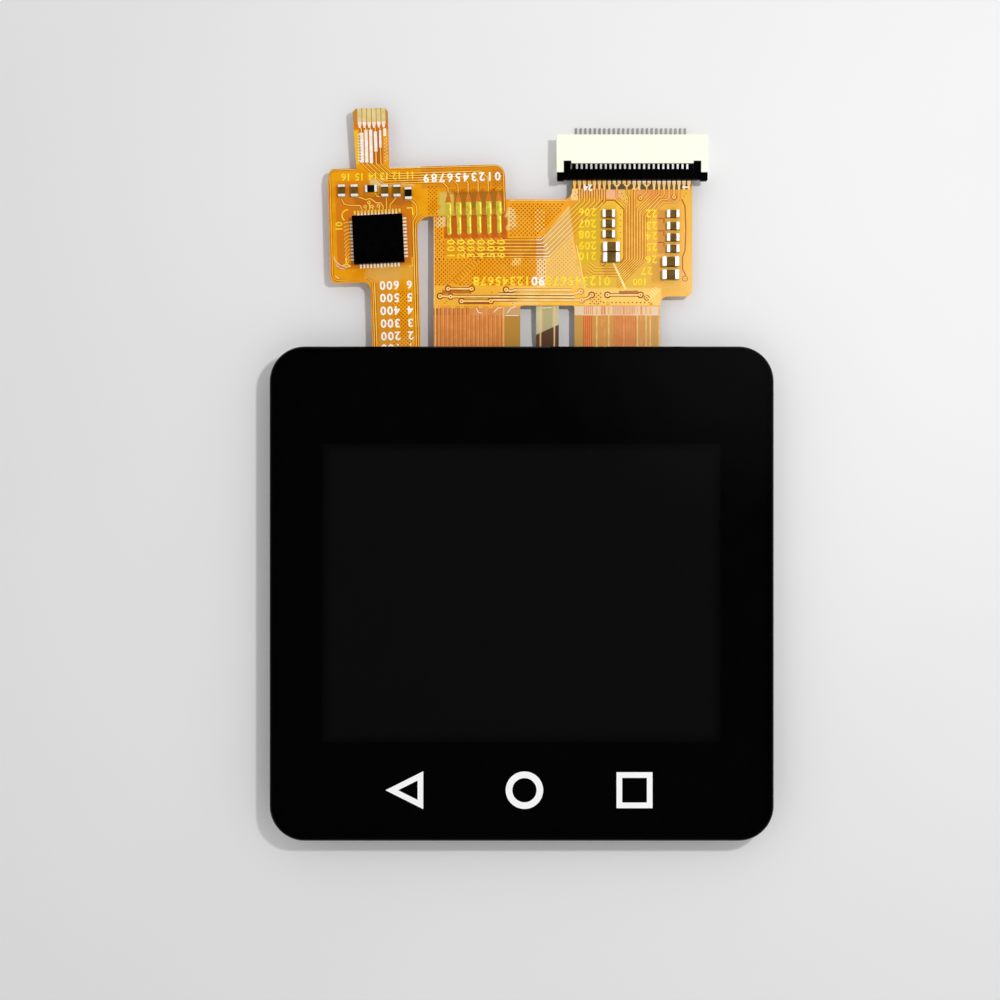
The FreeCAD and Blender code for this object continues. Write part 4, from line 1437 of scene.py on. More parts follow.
    def print_numbers(self) -> None:
        """Prints plain numbers where the flex has its small print."""
        yellow, white = "display_print_yellow", "display_print_white"
        for i in range(JOINTS):
            self.art.number(yellow, f"{i + 1}00", (-7.33 + JOINT_PITCH * i, 10.42), 1.12, Turn.UPWARD, 1.25)
        for i in range(19):
            self.art.number(white if i in (8, 9) else yellow, str((18 - i) % 10), (-4.72 + 0.76 * i, 7.1),
                            1.3, Turn.INVERTED)
        columns = ((206, 6.9, (14.3, 13.1, 11.95, 10.8, 9.7)), (22, 13.6, (14.15, 12.9, 11.8, 10.65, 9.35)))
        for first, x, heights in columns:
            for i, y in enumerate(heights):
                self.art.number(yellow, str(first + i), (x, y), 1.15, Turn.INVERTED, 1.1)
        self.art.number(yellow, "27", (13.1, 8.15), 1.15, Turn.INVERTED, 1.1)
        self.art.number(yellow, "100", (12.4, 7.0), 1.0, Turn.INVERTED)
        self.art.number(white, "24", (6.95, 16.85), 0.95, Turn.INVERTED)
        self.art.number(white, "1", (17.2, 16.86), 0.95, Turn.UPWARD)

    def layer(self, main: Tint, drift: Tint, patches: tuple[Patch, ...]) -> FlexFinish:
        """A finish of copper or of bare gaps whose colour follows the place."""
        return FlexFinish(main, drift, patch=1.2, rough=0.22, depth=0.001, shine=0.25,
                          origin=self.film.origin, patches=patches)

    def finish(self) -> FlexFinish:
        """The film's finish with its patches.

        Returns:
            The finish, in the flex's axes.
        """
        return FlexFinish((241, 167, 42), (238, 156, 22), patch=2.4, rough=0.2, grain=0.3, depth=0.003,
                          shine=0.25, origin=self.film.origin, patches=DISPLAY_PATCHES)

    def build(self, frame: dict) -> None:
        """Dresses the flex and lays its artwork on it.

        Args:
            frame: The frame as it was loaded.
        """
        dress(frame, "display_flex", self.store.add("amber_flex", self.finish()))
        # Copper and gaps get the same painted sheen beside the crease, as lighter tints.
        self.store.add("display_copper", self.layer(
            (250, 190, 76), (246, 174, 52), crease_patches((250, 210, 138), (246, 193, 66))))
        self.store.add("display_gap", self.layer(
            (168, 84, 18), (154, 74, 16), crease_patches((206, 158, 80), (194, 132, 30))))
        self.store.add("display_deep_gap", self.layer(
            (138, 62, 16), (168, 88, 20),
            (Patch(-0.4, 6.6, 4.4, 6.4, (228, 172, 86), soft=0.8, share=0.88),)))
        joints, columns = self.joint_lines(), self.column_lines()
        fingers = [[(self.finger(i), self.finger_from), (self.contact(i), self.finger_from + 0.6),
                    (self.contact(i), self.finger_top)] for i in range(self.contacts)]
        art = self.art
        art.lines("display_gaps", self.joint_gap_w, Level.GAP, joints)
        art.lines("display_gaps", self.gap_w, Level.GAP, columns)
        art.lines("display_gaps", self.contour_w, Level.SEAM, CONTOURS)
        art.lines("display_deep_gaps", self.deep_gap_w, Level.GAP, LOW_LINES)
        art.lines("display_lines", self.line_w, Level.COPPER, joints + columns)
        art.lines("display_low_lines", self.low_line_w, Level.COPPER, LOW_LINES)
        for width, paths in self.stubs():
            art.lines("display_stubs", width, Level.PAD, paths)
        art.lines("display_stubs", self.arm_w, Level.PAD, self.fork_arms())
        art.lines("display_fingers", self.long_finger_w, Level.PAD, fingers)
        art.dots("display_deep_gaps", self.via_gap_r, Level.SEAM, self.drilled())
        art.dots("display_low_lines", self.via_r, Level.PAD, self.drilled())
        art.dots("display_gaps", self.high_via_gap_r, Level.SEAM, self.high_vias())
        art.dots("display_lines", self.via_r, Level.PAD, self.high_vias() + ROW_PADS)
        art.dots("display_drills", self.drill_r, Level.DRILL, self.drilled() + self.high_vias())
        art.dots("display_drills", self.small_drill_r, Level.DRILL, self.small_holes() + ROW_PADS)
        art.dots("display_mesh", self.mesh_hole, Level.GAP, self.mesh_openings(), 6)
        art.dots("display_sheen_mesh", self.faint_hole, Level.GAP, self.faint_openings(), 6)
        art.lines("display_mesh", self.dash_w, Level.GAP, self.dashes())
        widths = {"tail_line_pale": 0.17, "tail_line_broad": 0.2, "tail_line": 0.08}
        for piece, paths in self.tail_lines().items():
            art.lines(piece, widths[piece], Level.COPPER, paths)
        art.lines("display_film_edges", self.film_edge_w, Level.PAD, self.cover_paths())
        art.lines("display_sheen", self.sheen_w, Level.DRILL, [[(9.6, 9.0), (10.9, 6.2)]])
        art.lines("display_sheen", self.stripe_w, Level.DRILL, self.corner_stripes())
        art.lines("display_sheen", self.crease_w, Level.PAD, [CREASE_HIGHLIGHT])
        art.lines("display_glints", self.glint_w, Level.DRILL, self.glints())
        art.lines("display_glints", self.finger_glint_w, Level.DRILL, self.finger_glints())
        art.dots("display_sheen", self.speck_r, Level.PAD, self.net_glints(), 6)
        for width, paths in self.joint_tips():
            art.lines("display_joint_tips", width, Level.PAD, paths)
        self.print_numbers()
        art.build()


# Finish and record slot of each piece
TOUCH_LOOKS: dict[str, tuple[str, str]] = {
    **{piece: (finish, "yellow_flex") for piece, finish in {
        "touch_gaps": "touch_gap", "touch_lines": "copper_line", "touch_drills": "deep_gap",
        "touch_mesh": "bare_gap", "joint_pads": "joint_pad", "tail_gloss": "bright_line",
        "touch_print_yellow": "yellow_print"}.items()},
    "pad_tails_top": ("pad_tail", "gilt_pads"), "pad_tails_low": ("pad_tail_pale", "gilt_pads"),
    "touch_print_white": ("white_print", "white_ink"),
}


# Lines between the controller and its parts
BOARD_LINES: list[Path] = [
    [(-5.35, 15.75), (-5.1, 15.22), (-4.5, 15.05), (-3.45, 15.02), (-3.2, 14.5)],
    [(-3.68, 15.91), (-3.3, 15.8), (-2.8, 15.6), (-2.35, 15.72), (-1.75, 15.25), (-1.25, 15.22),
     (-1.03, 14.9), (-1.03, 14.5)],
    [(-1.84, 16.28), (-1.64, 15.96), (-1.25, 15.84)],
    [(-0.67, 15.7), (-0.67, 14.5)],
    [(0.35, 15.7), (-0.3, 15.0), (-0.3, 14.5)],
    [(-2.45, 15.25), (-2.45, 14.5)], [(-2.85, 14.85), (-2.8, 14.5)], [(-2.15, 14.85), (-2.1, 14.5)],
    [(-1.45, 14.88), (-1.4, 14.5)],
    [(1.75, 15.5), (2.2, 15.2), (2.48, 14.75), (2.48, 13.9), (2.05, 13.2), (2.05, -0.8)],
    [(-2.15, 6.9), (-2.05, -0.8)],
]

# The light copper border that follows the outline
BORDERS: list[Path] = [
    [(-4.0, 18.78), (-5.95, 18.78), *arc((-5.95, 18.25), 0.55, 100, 180), (-6.5, 7.8),
     *arc((-6.0, 7.75), 0.48, 180, 270), (-2.75, 7.27), *arc((-2.85, 6.75), 0.52, 90, 0),
     (-2.32, -0.8)],
    [(2.28, -0.8), (2.28, 12.55), *arc((3.55, 12.6), 1.28, 180, 110)],
    [(-0.1, 18.78), (10.7, 18.78), *arc((10.7, 17.85), 0.93, 90, 0), (11.64, 14.0)],
]

# Printed corner marks round the controller
MARKS: list[Path] = [
    arc((-4.75, 14.0), 0.6, 85, 235),
    [(1.45, 14.62), (2.0, 14.62), (2.05, 13.9)],
    [(1.85, 9.45), (1.85, 8.55), (1.5, 8.55)],
    [(-5.05, 9.55), (-5.05, 8.95), (-4.6, 8.7)], [(-5.05, 8.95), (-5.4, 8.75)],
]

# Bright reflections on the board's curled corner
STREAKS: list[Path] = [
    [(-6.35, 9.7), (-6.1, 9.2), (-5.7, 8.85), (-5.1, 8.6), (-4.6, 8.7)],
    [(-6.1, 8.9), (-5.75, 8.55), (-5.2, 8.4)], [(-6.2, 7.75), (-5.9, 7.45)], [(-0.2, 18.9), (3.0, 18.86)],
]

# The film's patches, in the order that they are laid
TOUCH_PATCHES: tuple[Patch, ...] = (
    Patch(-5.95, 2.0, 8.4, 15.9, (216, 124, 26), soft=0.12, ragged=0.1),
    Patch(-5.9, -2.3, 15.4, 17.6, (222, 132, 28), soft=0.5, share=0.8),
    Patch(-2.1, 2.1, 7.2, 8.7, (226, 166, 58), soft=0.5, share=0.8, ragged=0.4),
    Patch(-3.1, 0.6, 7.0, 8.5, (224, 172, 92), soft=0.6, share=0.5, ragged=0.9),
    # Painted sheen: a pale reflection over the film near the upper print.
    Patch(-2.4, 2.3, 16.95, 17.8, (236, 200, 128), soft=0.4, share=0.85, ragged=0.7),
    # Painted shade round the small parts above the controller.
    Patch(-4.0, 1.9, 14.9, 16.2, (176, 98, 22), soft=0.5, share=0.6, ragged=1.2),
    Patch(3.0, 11.7, 16.6, 18.7, (206, 128, 30), soft=0.3, share=0.6),
    Patch(4.75, 6.4, 13.7, 16.2, (206, 196, 96), soft=0.5, share=0.75, ragged=1.5),
    Patch(6.4, 11.8, 13.7, 16.2, (146, 96, 30), soft=0.3, share=0.85, ragged=0.4),
    Patch(6.2, 11.8, 13.65, 14.4, (196, 132, 44), soft=0.4, share=0.7, ragged=1.0),
    Patch(-2.1, -0.35, -2.5, 6.9, (216, 142, 34), soft=0.15, share=0.8),
    Patch(-3.4, -0.85, 19.3, 23.5, (200, 122, 56), soft=0.2, share=0.85, ragged=0.15),
    Patch(-1.95, -0.95, 19.3, 22.9, (182, 88, 44), soft=0.15, share=0.8),
    Patch(-3.95, -3.4, 19.3, 23.2, (248, 192, 34), soft=0.2, share=0.85),
    Patch(-3.9, -0.3, 22.9, 23.85, (206, 104, 24), soft=0.2, share=0.75, ragged=0.3),
    Patch(-4.2, -0.1, 23.74, 25.4, (192, 136, 62), soft=0.06),
)


@dataclass
class TouchFlex(Flex):
    """The touch flex: board with the controller, neck, side arm and finger tail.

    Attributes:
        finger_x: Leftmost finger of the tail, whose copper starts at finger_low.
        tail_x: Leftmost line of the tail, whose straight run ends at tail_base.
        level_low: Lowest level run of the lines over the board.
        chip: The controller's middle.
        chip_turn: How far it is turned, in degrees.
        left_reach: From its middle to the ends of its left pads.
        top_reach: From its middle to the ends of its upper pads.
        gloss: Width, lower end and upper end of the reflection on each line of the tail.
        pad_gloss: The same for the ends of the tail's fingers, one above the other.
    """

    line_w: float = 0.15
    gap_w: float = 0.27
    border_w: float = 0.11
    border_gap_w: float = 0.22
    pad_w: float = 0.2
    via_r: float = 0.2
    drill_r: float = 0.06
    mesh_hole: float = 0.085
    speck_r: float = 0.08
    fine_speck_r: float = 0.055
    streak_w: float = 0.05
    mark_w: float = 0.13
    finger_x: float = -3.24
    finger_pitch: float = 0.5
    finger_low: float = 23.75
    tail_base: float = 19.36
    tail_x: float = -3.09
    tail_pitch: float = 0.49
    level_low: float = 17.25
    level_pitch: float = 0.25
    chip: Point = (-1.60, 11.39)
    chip_turn: float = 1.2
    pad_pitch: float = 0.36
    left_reach: float = 2.9
    top_reach: float = 2.75
    gloss: tuple[tuple[float, float, float], ...] = (
        (0.42, 19.5, 22.6), (0.33, 19.5, 22.9), (0.33, 19.4, 22.9), (0.34, 20.6, 22.7), (0.24, 21.0, 22.8),
        (0.3, 22.2, 23.0))
    pad_gloss: tuple[tuple[float, float, float], ...] = (
        (0.4, 23.45, 23.73), (0.3, 23.25, 23.45), (0.2, 23.1, 23.25))

    def routes(self) -> list[Path]:
        """Lines from the tail's fingers over the board to the arm's joints.

        Returns:
            Their middle lines.
        """
        paths = []
        for i in range(5):
            x = self.tail_x + self.tail_pitch * i
            finger = self.finger_x + self.finger_pitch * i
            level = self.level_low + self.level_pitch * i
            joint = JOINT_X + JOINT_PITCH * i
            bend = 16.65 + 0.22 * i
            paths.append([(finger, self.finger_low), (finger, 23.35), (x, 22.95), (x, self.tail_base),
                          (x + self.tail_base - level, level), (joint - (level - bend), level),
                          (joint, bend), (joint, 15.3)])
        return paths

    def on_chip(self, x: float, y: float) -> Point:
        """Takes a point from the controller's axes to the flex's.

        Args:
            x: Its X.
            y: Its Y.

        Returns:
            The point in the flex's axes.
        """
        angle = math.radians(self.chip_turn)
        return (self.chip[0] + x * math.cos(angle) - y * math.sin(angle),
                self.chip[1] + x * math.sin(angle) + y * math.cos(angle))

    def fan(self) -> list[Path]:
        """The curved lines that leave the controller's left pads.

        Returns:
            Their middle lines.
        """
        paths = []
        for i in range(12):
            y = 1.98 - self.pad_pitch * i
            drop = 0.04 + 0.03 * i
            turns = ((0.0, 0.0), (0.25, 0.0), (0.5, drop), (0.68, drop * 2.2))
            paths.append([self.on_chip(-self.left_reach - out, y - down) for out, down in turns])
        return paths

    def pad_tails(self, side: int, length: float, count: int = 12) -> list[Path]:
        """Copper that leads on from the controller's upper (1) or lower (-1) pads.

        Args:
            side: 1 for the upper pads, -1 for the lower ones.
            length: How far the copper leads.
            count: How many pads there are.

        Returns:
            A line for each pad.
        """
        paths = []
        for i in range(count):
            offset = self.pad_pitch * (i - (count - 1) / 2)
            paths.append([self.on_chip(offset, side * y) for y in (self.top_reach, self.top_reach + length)])
        return paths

    def openings(self) -> Path:
        """Openings of the ground copper on arm and neck.

        Returns:
            The openings' middles.
        """
        pitch = 0.4
        points = lattice(3.75, 4.7, 13.95, 16.9, pitch)
        points += lattice(-0.25, 1.65, 0.1, 5.95, pitch)
        for i in range(JOINTS - 1):
            left = JOINT_X + 0.3 + JOINT_PITCH * i
            points += lattice(left, left + 0.5, 16.0, 16.5, pitch / 1.5)
        return points + lattice(10.6, 11.4, 16.3, 18.3, pitch)

    def teardrops(self) -> list[tuple[float, list[Path]]]:
        """The orange pads above the joints, each a stack of widths that narrows upwards.

        Returns:
            Width and middle lines of each layer of the stack.
        """
        width, narrowing, rounding, length, step = 0.62, 0.055, 0.0035, 0.16, 0.15
        xs = [JOINT_X + JOINT_PITCH * i for i in range(JOINTS)]
        stack = []
        for k in range(8):
            low = 15.0 + step * k
            paths = [[(x, low), (x, low + length)] for x in xs]
            stack.append((width - narrowing * k - rounding * k * k, paths))
        return stack

    def print_numbers(self) -> None:
        """Prints plain numbers where the flex has its small print."""
        for i, y in enumerate((6.64, 5.33, 4.0, 2.67, 1.34, 0.03)):
            self.art.number("touch_print_white", f"{6 - i}", (1.48, y), 1.2, Turn.INVERTED)
            self.art.number("touch_print_white", f"{6 - i}00", (-0.6, y), 1.25, Turn.INVERTED, 1.15)
        for i in range(10):
            self.art.number("touch_print_white", str(9 - i), (3.55 + 0.83 * i, 17.72), 1.25, Turn.INVERTED)
        for i, x in enumerate((-4.81, -3.4, -2.0, -0.8, 0.5, 1.87)):
            self.art.number("touch_print_yellow", str(16 - i), (x, 18.05), 1.05, Turn.INVERTED, 0.95)
        self.art.number("touch_print_yellow", "10", (-5.65, 12.88), 1.0, Turn.UPWARD)

    def finish(self) -> FlexFinish:
        """The film's finish with its patches.

        Returns:
            The finish, in the flex's axes.
        """
        return FlexFinish((238, 162, 20), (228, 144, 10), patch=2.2, rough=0.2, grain=0.28, depth=0.003,
                          shine=0.25, origin=self.film.origin, lean=self.film.lean, patches=TOUCH_PATCHES)

    def build(self, frame: dict) -> None:
        """Dresses the flex and lays its artwork on it.

        Args:
            frame: The frame as it was loaded.
        """
        dress(frame, "touch_flex", self.store.add("yellow_flex", self.finish()))
        art = self.art
        lines = self.routes() + BOARD_LINES
        art.lines("touch_gaps", self.gap_w, Level.GAP, lines)
        art.lines("touch_gaps", self.border_gap_w, Level.GAP, BORDERS)
        art.lines("touch_lines", self.line_w, Level.COPPER, lines)
        art.lines("touch_lines", self.border_w, Level.COPPER, BORDERS + self.fan())
        art.lines("pad_tails_top", self.pad_w, Level.COPPER, self.pad_tails(1, 0.38, 14))
        art.lines("pad_tails_low", self.pad_w, Level.COPPER, self.pad_tails(-1, 0.17))
        vias = [(-2.5, 15.3), (-2.9, 14.88), (-2.2, 14.88), (-1.5, 14.92)]
        art.dots("touch_lines", self.via_r, Level.PAD, vias)
        art.dots("touch_drills", self.drill_r, Level.DRILL, vias)
        art.dots("touch_mesh", self.mesh_hole, Level.GAP, self.openings(), 6)
        for width, paths in self.teardrops():
            art.lines("joint_pads", width, Level.PAD, paths)
        for i, (width, low, high) in enumerate(self.gloss):
            x = self.tail_x + self.tail_pitch * i
            art.lines("tail_gloss", width, Level.PAD, [[(x, low), (x, high)]])
        for i in range(6):
            finger = self.finger_x + self.finger_pitch * i
            for width, low, high in self.pad_gloss:
                art.lines("tail_gloss", width, Level.PAD, [[(finger, low), (finger, high)]])
        art.dots("tail_gloss", self.fine_speck_r, Level.PAD, lattice(-0.66, -0.4, 19.6, 22.1, 0.36), 6)
        art.dots("tail_gloss", self.speck_r, Level.PAD, lattice(-3.42, -3.28, 19.7, 22.5, 0.3), 6)
        art.lines("tail_gloss", self.streak_w, Level.PAD, STREAKS)
        art.lines("touch_print_yellow", self.mark_w, Level.PRINT, MARKS)
        self.print_numbers()
        art.build()


@dataclass
class SolderRow(Part):
    """The solder joints that run from the touch flex's arm down to the display flex.

    Attributes:
        film: The touch flex's upper face.
        top_y: The joints' upper ends.
        edge_y: The arm's edge, where they fall to the display flex.
        low_y: Their lower ends.
        upper_half: Half of their width on the arm.
        lower_half: Half of it on the display flex.
        crown: How high they are domed, of which least_crown is the share at their very ends.
        fall_start: How far before the edge they start to fall, over a length of fall_run.
        top_round: The share of their length that the upper end's rounding takes, and low_round the lower's.
        tip: Width of their very ends, as a share of the full one.
        bulge: How much wider they are at the edge, over a length of bulge_run.
        stations: Cross-sections along each joint, less one.
        ribs: Points across each cross-section.
    """

    film: Film
    top_y: float = 15.11
    edge_y: float = 13.68
    low_y: float = 11.71
    upper_half: float = 0.31
    lower_half: float = 0.235
    crown: float = 0.07
    least_crown: float = 0.15
    fall_start: float = 0.05
    fall_run: float = 0.16
    top_round: float = 0.05
    low_round: float = 0.09
    tip: float = 0.62
    bulge: float = 0.06
    bulge_run: float = 0.12
    stations: int = 30
    ribs: int = 11

    def section(self, share: float, drop: float) -> tuple[float, float, float, float]:
        """Place and size of the joint's cross-section.

        Args:
            share: How far along the joint, from its upper end.
            drop: How much lower the display flex lies.

        Returns:
            Y, height of the surface below, half width and crown.
        """
        y = self.top_y + (self.low_y - self.top_y) * share
        fall = min(1.0, max(0.0, (self.edge_y + self.fall_start - y) / self.fall_run))
        fall = fall * fall * (3 - 2 * fall)
        ends = min(share / self.top_round, (1 - share) / self.low_round)
        round_end = math.sqrt(max(0.0, 1 - (1 - min(1.0, ends)) ** 2))
        half = self.upper_half + (self.lower_half - self.upper_half) * fall
        half *= self.tip + (1 - self.tip) * round_end
        half *= 1 + self.bulge * math.exp(-((y - self.edge_y) / self.bulge_run) ** 2)
        return y, -drop * fall, half, self.crown * max(round_end, self.least_crown)

    def mesh(self, drop: float) -> bpy.types.Mesh:
        """All six joints as domed strips with closed undersides, in the flex's axes.

        Args:
            drop: How much lower the display flex lies.

        Returns:
            The mesh, in metres.
        """
        shape = bmesh.new()
        for i in range(JOINTS):
            x = JOINT_X + JOINT_PITCH * i
            rows = []
            for k in range(self.stations + 1):
                y, base, half, crown = self.section(k / self.stations, drop)
                row = [shape.verts.new(Vector((x + half * math.cos(a), y, base + crown * math.sin(a))) * MM)
                       for a in [math.pi * j / (self.ribs - 1) for j in range(self.ribs)]]
                rows.append(row)
            join_rings(shape, rows)
            shape.faces.new(rows[0])
            shape.faces.new(rows[-1])
        bmesh.ops.recalc_face_normals(shape, faces=shape.faces)
        for face in shape.faces:
            face.smooth = True
        return as_mesh("solder_beads", shape)

    def build(self) -> None:
        """Makes the joints stand in for the plain ones."""
        top = self.film.origin.z
        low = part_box("solder_joints")[0].z / MM
        mesh = self.mesh(top - low)
        self.film.lift(mesh)
        piece = install(as_object("solder_beads", mesh, self.store.get("solder")))
        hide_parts("solder_joints")


@dataclass
class PartFillets(Part):
    """Small skirts of solder at the foot of each chip part's terminals.

    Attributes:
        reach: How far a skirt stands out at the terminal's long faces, and how high its bend is.
        side: How far it stands out at the short ones.
        share: How high it climbs, as a share of the terminal's height.
        clearance: How far its foot stays over the flex.
    """

    reach: float = 0.11
    side: float = 0.01
    share: float = 0.45
    clearance: float = 0.01

    def skirt(self, shape: bmesh.types.BMesh, film: Film, points: list[Vector]) -> None:
        """Adds one skirt round a terminal.

        Args:
            shape: The mesh that collects the skirts.
            film: The face that the terminal stands on.
            points: The terminal's corners, in millimetres.
        """
        inverse = film.matrix().inverted()
        inner = [inverse @ point for point in points]
        low = Vector([min(p[i] for p in inner) for i in range(3)])
        high = Vector([max(p[i] for p in inner) for i in range(3)])
        top = low.z + (high.z - low.z) * self.share
        out = Vector((self.reach, self.side))
        if high.x - low.x > high.y - low.y:
            out = Vector((self.side, self.reach))
        rings = []
        for share, z in ((1.0, low.z + self.clearance), (0.35, low.z + self.reach), (0.0, top)):
            grow = out * share
            ring = [(low.x - grow.x, low.y - grow.y), (high.x + grow.x, low.y - grow.y),
                    (high.x + grow.x, high.y + grow.y), (low.x - grow.x, high.y + grow.y)]
            rings.append([shape.verts.new((film.matrix() @ Vector((x, y, z))) * MM) for x, y in ring])
        join_rings(shape, rings)
        shape.faces.new(reversed(rings[0]))
        shape.faces.new(rings[-1])

    def build(self, frame: dict, sources: dict[str, Film]) -> None:
        """Adds skirts to every terminal of the named nodes.

        Args:
            frame: The frame as it was loaded.
            sources: The face that the terminals stand on, by node.
        """
        shape = bmesh.new()
        for node, film in sources.items():
            for points in solids_of(frame["nodes"][node]):
                self.skirt(shape, film, points)
        skirts = as_object("part_fillets", as_mesh("part_fillets", shape), self.store.get("solder_skirt"))
        install(skirts)


@dataclass
class Lens(Part):
    """The cover lens with its print, and the clear glue behind it.

    Attributes:
        corner: The lens's corner radius.
        rim: Width of the rim that no print backs.
        sink: How far the print reaches into the glass, so that no two faces share a plane.
        window_w: Width of the clear window.
        window_h: Its height.
        window_shade_w: Width of the painted shade along the window's border.
    """

    corner: float = 3.6
    rim: float = 0.3
    sink: float = 0.006
    window_w: float = 41.3
    window_h: float = 31.0
    window_shade_w: float = 1.1

    def view_through(self) -> FlexFinish:
        """What shows through the clear glue: the dark panel, with painted shade darkening its border.

        Returns:
            The glue's finish.
        """
        across = self.window_w / 2 - self.window_shade_w / 2
        along = self.window_h / 2 - self.window_shade_w / 2
        panel = Patch(-across, across, -along, along, (13, 13, 13), soft=self.window_shade_w)
        return FlexFinish((8, 8, 8), (8, 8, 8), patch=12.0, shine=0.0, depth=0.0, patches=(panel,))

    def build(self, frame: dict) -> None:
        """Gives the lens its glass.

        Args:
            frame: The frame as it was loaded.
        """
        low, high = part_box("cover_glass")
        middle = (low + high) / 2 / MM
        half = (high - low) / 2 / MM
        glass = LensFinish(NEAR_BLACK, (6, 6, 7), rough=0.03, rough_swing=0.01, depth=0.0, shine=0.3,
                           middle=Vector((middle.x, middle.y, 0)), half=(half.x, half.y),
                           corner=self.corner, rim=self.rim)
        dress(frame, "cover_glass", self.store.add("lens_glass", glass))
        dress(frame, "sensor_adhesive", self.store.add("clear_glue", self.view_through()))
        for node in ("ink_border", "key_marks"):
            lift = frame["nodes"][node].modifiers.new("sink_into_glass", "DISPLACE")
            lift.direction = "Z"
            lift.mid_level = 0.0
            lift.strength = self.sink * MM


@dataclass
class BacklightTail(Part):
    """The lamp flex's narrow tail, with its two lines and its dark end.

    Attributes:
        line_xs: X of its lines.
        line_w: Their width.
        middle: Left and right border of the stretch between them.
        dark_from: Left border and upper end of the dark end.
        dark_tilt: How far that end falls for each millimetre across.
    """

    line_xs: tuple[float, float] = (2.0, 3.46)
    line_w: float = 0.16
    middle: Point = (2.2, 3.25)
    dark_from: Point = (1.5, 1.45)
    dark_tilt: float = 0.445

    def build(self, frame: dict, edge_y: float) -> None:
        """Gives the tail its colours by place.

        Args:
            frame: The frame as it was loaded.
            edge_y: The lens's upper edge, in millimetres.
        """
        half = self.line_w / 2
        patches = [Patch(self.middle[0], self.middle[1], -6.0, 7.0, (184, 172, 124)),
                   Patch(self.dark_from[0], 6.0, -8.0, self.dark_from[1], (84, 50, 40),
                         share=0.94, tilt=self.dark_tilt)]
        patches += [Patch(x - half, x + half, -6.0, 7.0, (236, 194, 120), soft=0.05)
                    for x in self.line_xs]
        finish = FlexFinish((206, 199, 164), (192, 184, 148), patch=1.5, rough=0.25, shine=0.25,
                            origin=Vector((0, edge_y, 0)), patches=tuple(patches))
        dress(frame, "backlight_flex", self.store.add("lamp_flex_tail", finish))


@dataclass
class Connector(Part):
    """The connector's contacts, whose feet behind the housing are coloured a darker grey than their springs.

    Attributes:
        feet: How far the feet reach behind the housing.
    """

    feet: float = 2.0

    def build(self, frame: dict) -> None:
        """Gives the contacts their metal.

        Args:
            frame: The frame as it was loaded.
        """
        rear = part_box("connector_housing")[1].y / MM
        low, high = (corner.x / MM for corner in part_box("connector_contacts"))
        darker_feet = Patch(low - 1, high + 1, rear, rear + self.feet, (150, 149, 146))
        dress(frame, "connector_contacts", self.store.add("contact_metal", FlexFinish(
            (232, 228, 228), (206, 202, 204), patch=0.6, rough=0.3, rough_swing=0.1, metal=0.4,
            grain=0.06, patches=(darker_feet,))))


PLAIN_NODES: dict[str, str] = {
    "ink_border": "black_ink", "key_marks": "white_ink",
    "touch_sensor": "sensor_film", "panel_tape": "foam_tape", "front_polariser": "polariser_film",
    "colour_filter_glass": "cell_glass", "cell_seal": "cell_glue", "array_glass": "cell_glass",
    "display_driver_chip": "silicon", "rear_polariser": "polariser_film",
    "upper_prism_sheet": "optical_film", "lower_prism_sheet": "optical_film",
    "diffuser_sheet": "optical_film", "light_guide": "guide_acrylic",
    "reflector_sheet": "reflector_film", "backlight_leds": "lamp_white", "rim_tape": "foam_tape",
    "backlight_frame": "frame_white", "back_cover": "cover_steel", "flex_stiffener": "stiffener_film",
    "small_capacitor_bodies": "capacitor_brown", "small_capacitor_terminals": "tinned_ends",
    "large_capacitor_bodies": "capacitor_brown", "large_capacitor_terminals": "tinned_ends",
    "touch_tail_stiffener": "stiffener_film", "touch_tail_fingers": "gilt_pads",
    "touch_chip": "chip_black", "touch_chip_pads": "chip_pads",
    "touch_capacitor_bodies": "capacitor_brown", "touch_resistor_bodies": "resistor_black",
    "touch_part_terminals": "tinned_ends", "solder_joints": "solder",
    "connector_housing": "housing_white", "connector_slider": "slider_black",
    "connector_anchor_tabs": "anchor_metal",
}


